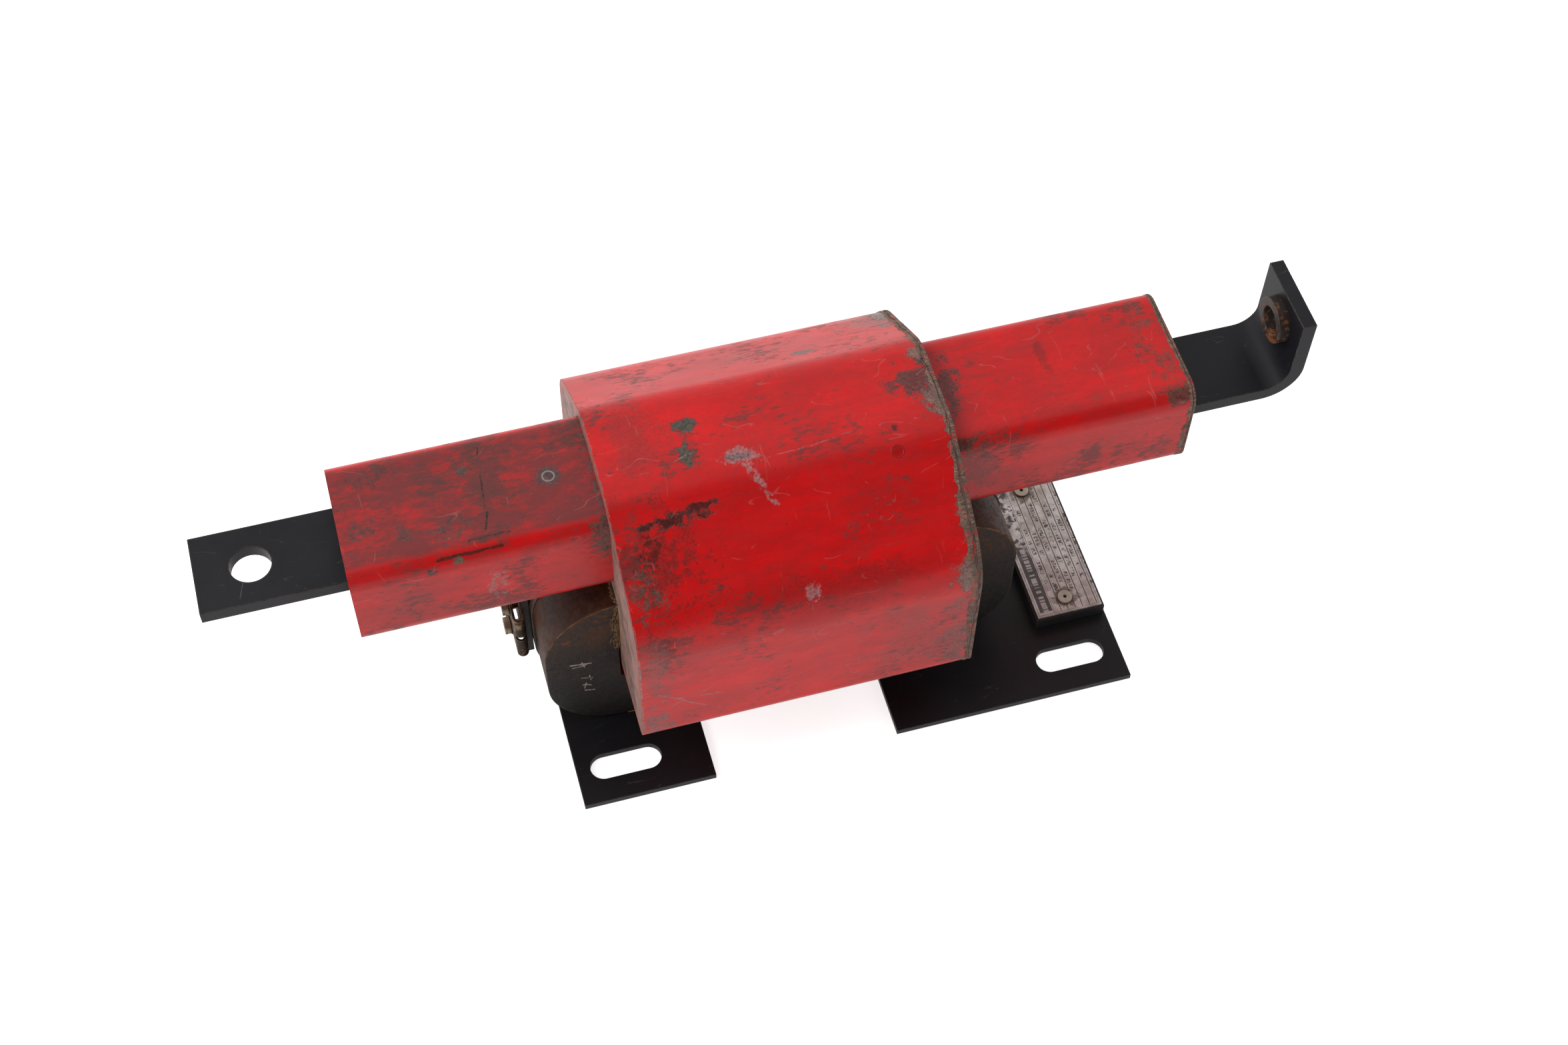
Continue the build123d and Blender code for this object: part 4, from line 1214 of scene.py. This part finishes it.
def roundedPath(corners, radii, step):
    # each corner of a convex outline becomes an arc tangent to its two sides; then equal steps by length
    corners, radii = np.array(corners, float), np.array(radii, float)
    before = corners - np.roll(corners, 1, axis=0)
    after = np.roll(corners, -1, axis=0) - corners
    before /= np.linalg.norm(before, axis=1)[:, None]
    after /= np.linalg.norm(after, axis=1)[:, None]
    bend = np.arccos(np.clip((before * after).sum(axis=1), -1, 1))
    start = corners - before * (radii * np.tan(bend / 2))[:, None]
    inward = np.stack([-before[:, 1], before[:, 0]], axis=1)
    centre = start + inward * radii[:, None]
    share = np.linspace(0, 1, 24)
    angle = bend[:, None] * share
    out = -inward[:, None] * np.cos(angle)[..., None] + before[:, None] * np.sin(angle)[..., None]
    points = (centre[:, None] + out * radii[:, None, None]).reshape(-1, 2)
    out = out.reshape(-1, 2)
    closed = np.concatenate([points, points[:1]])
    lengths = np.concatenate([[0], np.cumsum(np.linalg.norm(np.diff(closed, axis=0), axis=1))])
    places = np.linspace(0, lengths[-1], round(lengths[-1] / step), endpoint=False)
    closedOut = np.concatenate([out, out[:1]])
    path = np.stack([np.interp(places, lengths, closed[:, axis]) for axis in (0, 1)], axis=1)
    normals = np.stack([np.interp(places, lengths, closedOut[:, axis]) for axis in (0, 1)], axis=1)
    return path, normals / np.linalg.norm(normals, axis=1)[:, None]


def ringFaces(rows, columns, offset=0):
    # four-sided faces of a grid that closes on itself both ways
    index = np.arange(rows * columns).reshape(rows, columns) + offset
    right, down = np.roll(index, -1, axis=1), np.roll(index, -1, axis=0)
    return np.stack([index, down, np.roll(down, -1, axis=1), right], axis=-1).reshape(-1, 4)


def placePiece(name, points, faces, material, cut=None):
    # points in millimetres; a mesh whose volume comes out negative has its faces turned
    points = points.reshape(-1, 3) / 1000
    a, b, c, d = (points[faces[:, column]] for column in range(4))
    volume = (np.cross(a, b) * c).sum() + (np.cross(a, c) * d).sum()
    if volume < 0:
        faces = faces[:, ::-1]
    mesh = bpy.data.meshes.new(name)
    mesh.vertices.add(len(points))
    mesh.vertices.foreach_set("co", points.ravel())
    mesh.loops.add(faces.size)
    mesh.loops.foreach_set("vertex_index", np.ascontiguousarray(faces).ravel())
    mesh.polygons.add(len(faces))
    mesh.polygons.foreach_set("loop_start", np.arange(0, faces.size, 4))
    if cut is not None:
        mesh.attributes.new("cut", "FLOAT", "POINT").data.foreach_set("value", cut.ravel())
    mesh.update(calc_edges=True)
    mesh.validate()
    mesh.polygons.foreach_set("use_smooth", np.ones(len(mesh.polygons), bool))
    mesh.materials.append(material)
    piece = bpy.data.objects.new(name, mesh)
    bpy.context.scene.collection.objects.link(piece)
    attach(piece, "transformer")
    return piece


armRadius = 9.0
rimStep = 0.7


def housingPath():
    half, flat = shellHigh.y, housingShape["flatTop"] / 2
    corner = shellHigh.z - housingShape["shoulderDrop"]
    corners = [
        (-half, shellLow.z),
        (half, shellLow.z),
        (half, corner),
        (flat, shellHigh.z),
        (-flat, shellHigh.z),
        (-half, corner),
    ]
    return roundedPath(corners, housingShape["radii"], rimStep)


def boxPath(low, high, radius, step):
    corners = [(low.y, low.z), (high.y, low.z), (high.y, high.z), (low.y, high.z)]
    return roundedPath(corners, (radius,) * 4, step)


housingRim = {
    "width": 3.0,
    "wider": 0.45,  # on the side towards -Y
    "ragged": 0.8,
    "least": 2.2,
    "crack": 1.75,
    "crackWander": 0.32,
    "gap": 0.34,
    "gapWander": 0.12,
    "height": 0.34,
    "fuzz": 0.045,
    "lip": 3.4,
    "beyond": 0.35,
    "seed": 11,
}
armRim = dict(
    housingRim,
    width=2.2,
    ragged=0.4,
    least=1.5,
    crack=1.0,
    crackWander=0.15,
    gap=0.10,
    gapWander=0.04,
    height=0.22,
    lip=3.0,
    beyond=0.25,
    seed=23,
)


def frayedRim(name, way, endX, values, material):
    # a band carried round the outline: it starts ragged, dips into a crack, rounds the end and turns inwards
    path, normals = way
    count, seed = len(path), values["seed"]
    wider = 1 + values["wider"] * np.clip(-normals[:, 0], 0, 1)
    width = values["width"] + values["ragged"] * waves(count, 110, 0.5, seed)
    width = np.maximum(wider * width, values["least"])
    crack = values["crack"] + values["crackWander"] * waves(count, 70, 0.7, seed + 1)
    crack = np.clip(crack, values["crack"] * 0.6, width - 0.6)
    gap = np.maximum(values["gap"] + values["gapWander"] * waves(count, 90, 0.3, seed + 2), 0.05)
    top = values["height"] * (1 + 0.2 * waves(count, 120, 0.3, seed + 3))
    full = np.ones(count)
    middle = (width + crack) / 2
    along = [
        (-width, -0.3 * full),
        (-width + 0.2, 0.45 * top),
        (-middle, 0.8 * top),
        (-crack - gap - 0.25, top),
        (-crack - gap, 0.7 * top),
        (-crack - 0.75 * gap, -0.8 * full),
        (-crack + 0.75 * gap, -0.8 * full),
        (-crack + gap, 0.7 * top),
        (-crack + gap + 0.2, top),
        (-crack * 0.45, top),
        (-0.12 * full, 0.75 * top),
        (values["beyond"] * 0.75 * full, 0.2 * top),
        (values["beyond"] * full, -0.45 * full),
        (values["beyond"] * full, -values["lip"] * 0.5 * full),
        (values["beyond"] * 0.7 * full, -values["lip"] * full),
        (-0.5 * full, -(values["lip"] + 0.1) * full),
        (-width + 0.6, -1.0 * full),
    ]
    runX = np.stack([pair[0] for pair in along], axis=1)
    rise = np.stack([pair[1] for pair in along], axis=1)
    source = np.random.default_rng(seed + 4)
    rough = source.normal(0, values["fuzz"], rise.shape)
    rough[:, [0, 5, 6, 15, 16]] = 0
    rise = rise + rough
    points = np.empty((*runX.shape, 3))
    points[..., 0] = endX + runX
    points[..., 1:] = path[:, None] + normals[:, None] * rise[..., None]
    cut = np.zeros(runX.shape)
    cut[:, [4, 7]] = 0.6
    cut[:, [5, 6]] = 1.0
    return placePiece(name, points, ringFaces(*runX.shape), material, cut)


fibreFinish = {
    "dark": (0.070, 0.046, 0.036),
    "light": (0.30, 0.185, 0.135),
    "red": (0.48, 0.010, 0.012),
    "roughness": 0.75,
}


crackShade = (0.006, 0.004, 0.003)  # deep in the crack


def fibreMaterial(name, values, redCover):
    # cut fibres: fine lines across the end, darker in the dirt, with scraps of red left on them
    material, tree, shader, millimetres = newMaterial(name)
    shader.inputs["Specular IOR Level"].default_value = 0.3
    lines = noise(tree, stretch(tree, millimetres, (0.35, 1.6, 1.6)), 1.1, 5.0, 0.7)
    colour = between(tree, softStep(tree, lines, 0.34, 0.68), values["dark"], values["light"])
    dirt = cloudMask(tree, millimetres, 0.09, 0.42, 0.1, 0.75)
    colour = lay(tree, colour, dirt, values["dark"], 0.6)
    red = cloudMask(tree, millimetres, 0.14, redCover, 0.04, 0.8)
    colour = lay(tree, colour, red, values["red"], 0.85)
    cut = addNode(tree, "ShaderNodeAttribute", settings={"attribute_name": "cut"}).outputs["Fac"]
    colour = lay(tree, colour, cut, crackShade)
    height = calc(tree, "MULTIPLY", lines, 0.22)
    roughness = calc(tree, "MULTIPLY_ADD", red, -0.35, values["roughness"])
    finishShader(tree, shader, colour, roughness, height)
    return material


bareFibre = fibreMaterial("bareFibre", fibreFinish, 0.34)
frayedRim("rim_housing_right", housingPath(), shellHigh.x, housingRim, bareFibre)
armPath = boxPath(armRightLow, armRightHigh, armRadius, rimStep)
frayedRim("rim_arm_right", armPath, armRightHigh.x, armRim, bareFibre)

barrierFray = {
    "window": 26.4,  # height of the opening in the core
    "corner": 0.8,
    "step": 0.5,
    "reach": 1.3,
    "ragged": 0.8,
    "least": 0.4,
    "thickness": 0.55,
    "fuzz": 0.14,
    "seed": 41,
}


def tornBarrier(name, values, material):
    # a short collar round the core's top leg, whose free edge comes and goes
    low = Vector((0, coreLow.y, (coreLow.z + coreHigh.z + values["window"]) / 2))
    high = Vector((0, coreHigh.y, coreHigh.z))
    path, normals = boxPath(low, high, values["corner"], values["step"])
    count, seed = len(path), values["seed"]
    reach = np.maximum(values["reach"] + values["ragged"] * waves(count, 120, 0.3, seed), values["least"])
    thick = values["thickness"] * (1 + 0.25 * waves(count, 120, 0.3, seed + 1))
    full = np.ones(count)
    along = [
        (0.4 * full, -0.2 * full),
        (0.4 * full, thick),
        (-0.5 * reach, 0.85 * thick),
        (-0.9 * reach, 0.5 * thick),
        (-reach, 0.1 * thick),
        (-0.8 * reach, -0.2 * full),
    ]
    runX = np.stack([pair[0] for pair in along], axis=1)
    rise = np.stack([pair[1] for pair in along], axis=1)
    rough = np.random.default_rng(seed + 2).normal(0, values["fuzz"], rise.shape)
    rough[:, [0, 5]] = 0
    rise = rise + rough
    points = np.empty((*runX.shape, 3))
    points[..., 0] = shellLow.x + runX
    points[..., 1:] = path[:, None] + normals[:, None] * rise[..., None]
    return placePiece(name, points, ringFaces(*runX.shape), material)


threadValues = {
    "count": 90,
    "parts": 12,
    "sides": 5,
    "radius": 0.13,
    "low": 66.0,
    "high": 96.0,
    "spread": 3.2,
    "length": (3.0, 11.0),
    "curl": 0.55,
    "seed": 57,
}


def looseThreads(name, values, material):
    # each thread is a thin tube that hangs down and wavers; all are worked out together as one array
    source = np.random.default_rng(values["seed"])
    count, parts, sides = values["count"], values["parts"], values["sides"]
    share = np.linspace(0, 1, parts)
    top = source.uniform(values["low"], values["high"], count)
    length = source.uniform(*values["length"], count)
    length = np.minimum(length, top - values["low"] + 3)
    startX = shellLow.x - 0.4 - source.exponential(1.0, count).clip(0, values["spread"])
    startY = coreLow.y - source.uniform(0.25, 0.9, count)
    lean = source.normal(0, 0.9, (count, 2))
    phase = source.uniform(0, 2 * np.pi, (count, 2))
    turns = source.uniform(3, 8, (count, 2))
    bend = values["curl"] * np.sin(turns[:, None] * share[None, :, None] + phase[:, None])
    centre = np.empty((count, parts, 3))
    centre[..., 0] = startX[:, None] + lean[:, :1] * share + bend[..., 0]
    centre[..., 0] = np.minimum(centre[..., 0], shellLow.x - 0.2)
    centre[..., 1] = startY[:, None] - np.abs(lean[:, 1:]) * 0.4 * share + 0.3 * bend[..., 1]
    centre[..., 2] = top[:, None] - length[:, None] * share
    taper = np.sqrt(1 - (2 * share - 1) ** 8 + 0.02)
    thin = values["radius"] * source.uniform(0.6, 1.4, count)[:, None] * taper
    angle = np.arange(sides) * 2 * np.pi / sides
    ring = np.stack([np.cos(angle), np.sin(angle), np.zeros(sides)], axis=1)
    points = centre[:, :, None] + ring * thin[..., None, None]
    tip = points.mean(axis=2, keepdims=True)
    points[:, [0, -1]] = tip[:, [0, -1]] + (points[:, [0, -1]] - tip[:, [0, -1]]) * 0.15
    index = np.arange(count * parts * sides).reshape(count, parts, sides)
    turned = np.roll(index, -1, axis=2)
    walls = np.stack([index[:, :-1], turned[:, :-1], turned[:, 1:], index[:, 1:]], axis=-1).reshape(-1, 4)
    mesh = bpy.data.meshes.new(name)
    faces = [*walls.tolist(), *index[:, 0, ::-1].tolist(), *index[:, -1].tolist()]
    mesh.from_pydata((points.reshape(-1, 3) / 1000).tolist(), [], faces)
    mesh.validate()
    mesh.polygons.foreach_set("use_smooth", np.ones(len(mesh.polygons), bool))
    mesh.materials.append(material)
    piece = bpy.data.objects.new(name, mesh)
    bpy.context.scene.collection.objects.link(piece)
    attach(piece, "transformer")
    return piece


threadFinish = {
    "dark": (0.06, 0.028, 0.014),
    "light": (0.38, 0.23, 0.115),
    "red": (0.16, 0.055, 0.02),
    "roughness": 0.7,
}
glassThread = fibreMaterial("glassThread", threadFinish, 0.2)
tornBarrier("barrier_fray_left", barrierFray, glassThread)
looseThreads("barrier_threads_left", threadValues, glassThread)
print("rims and frayed barrier made")
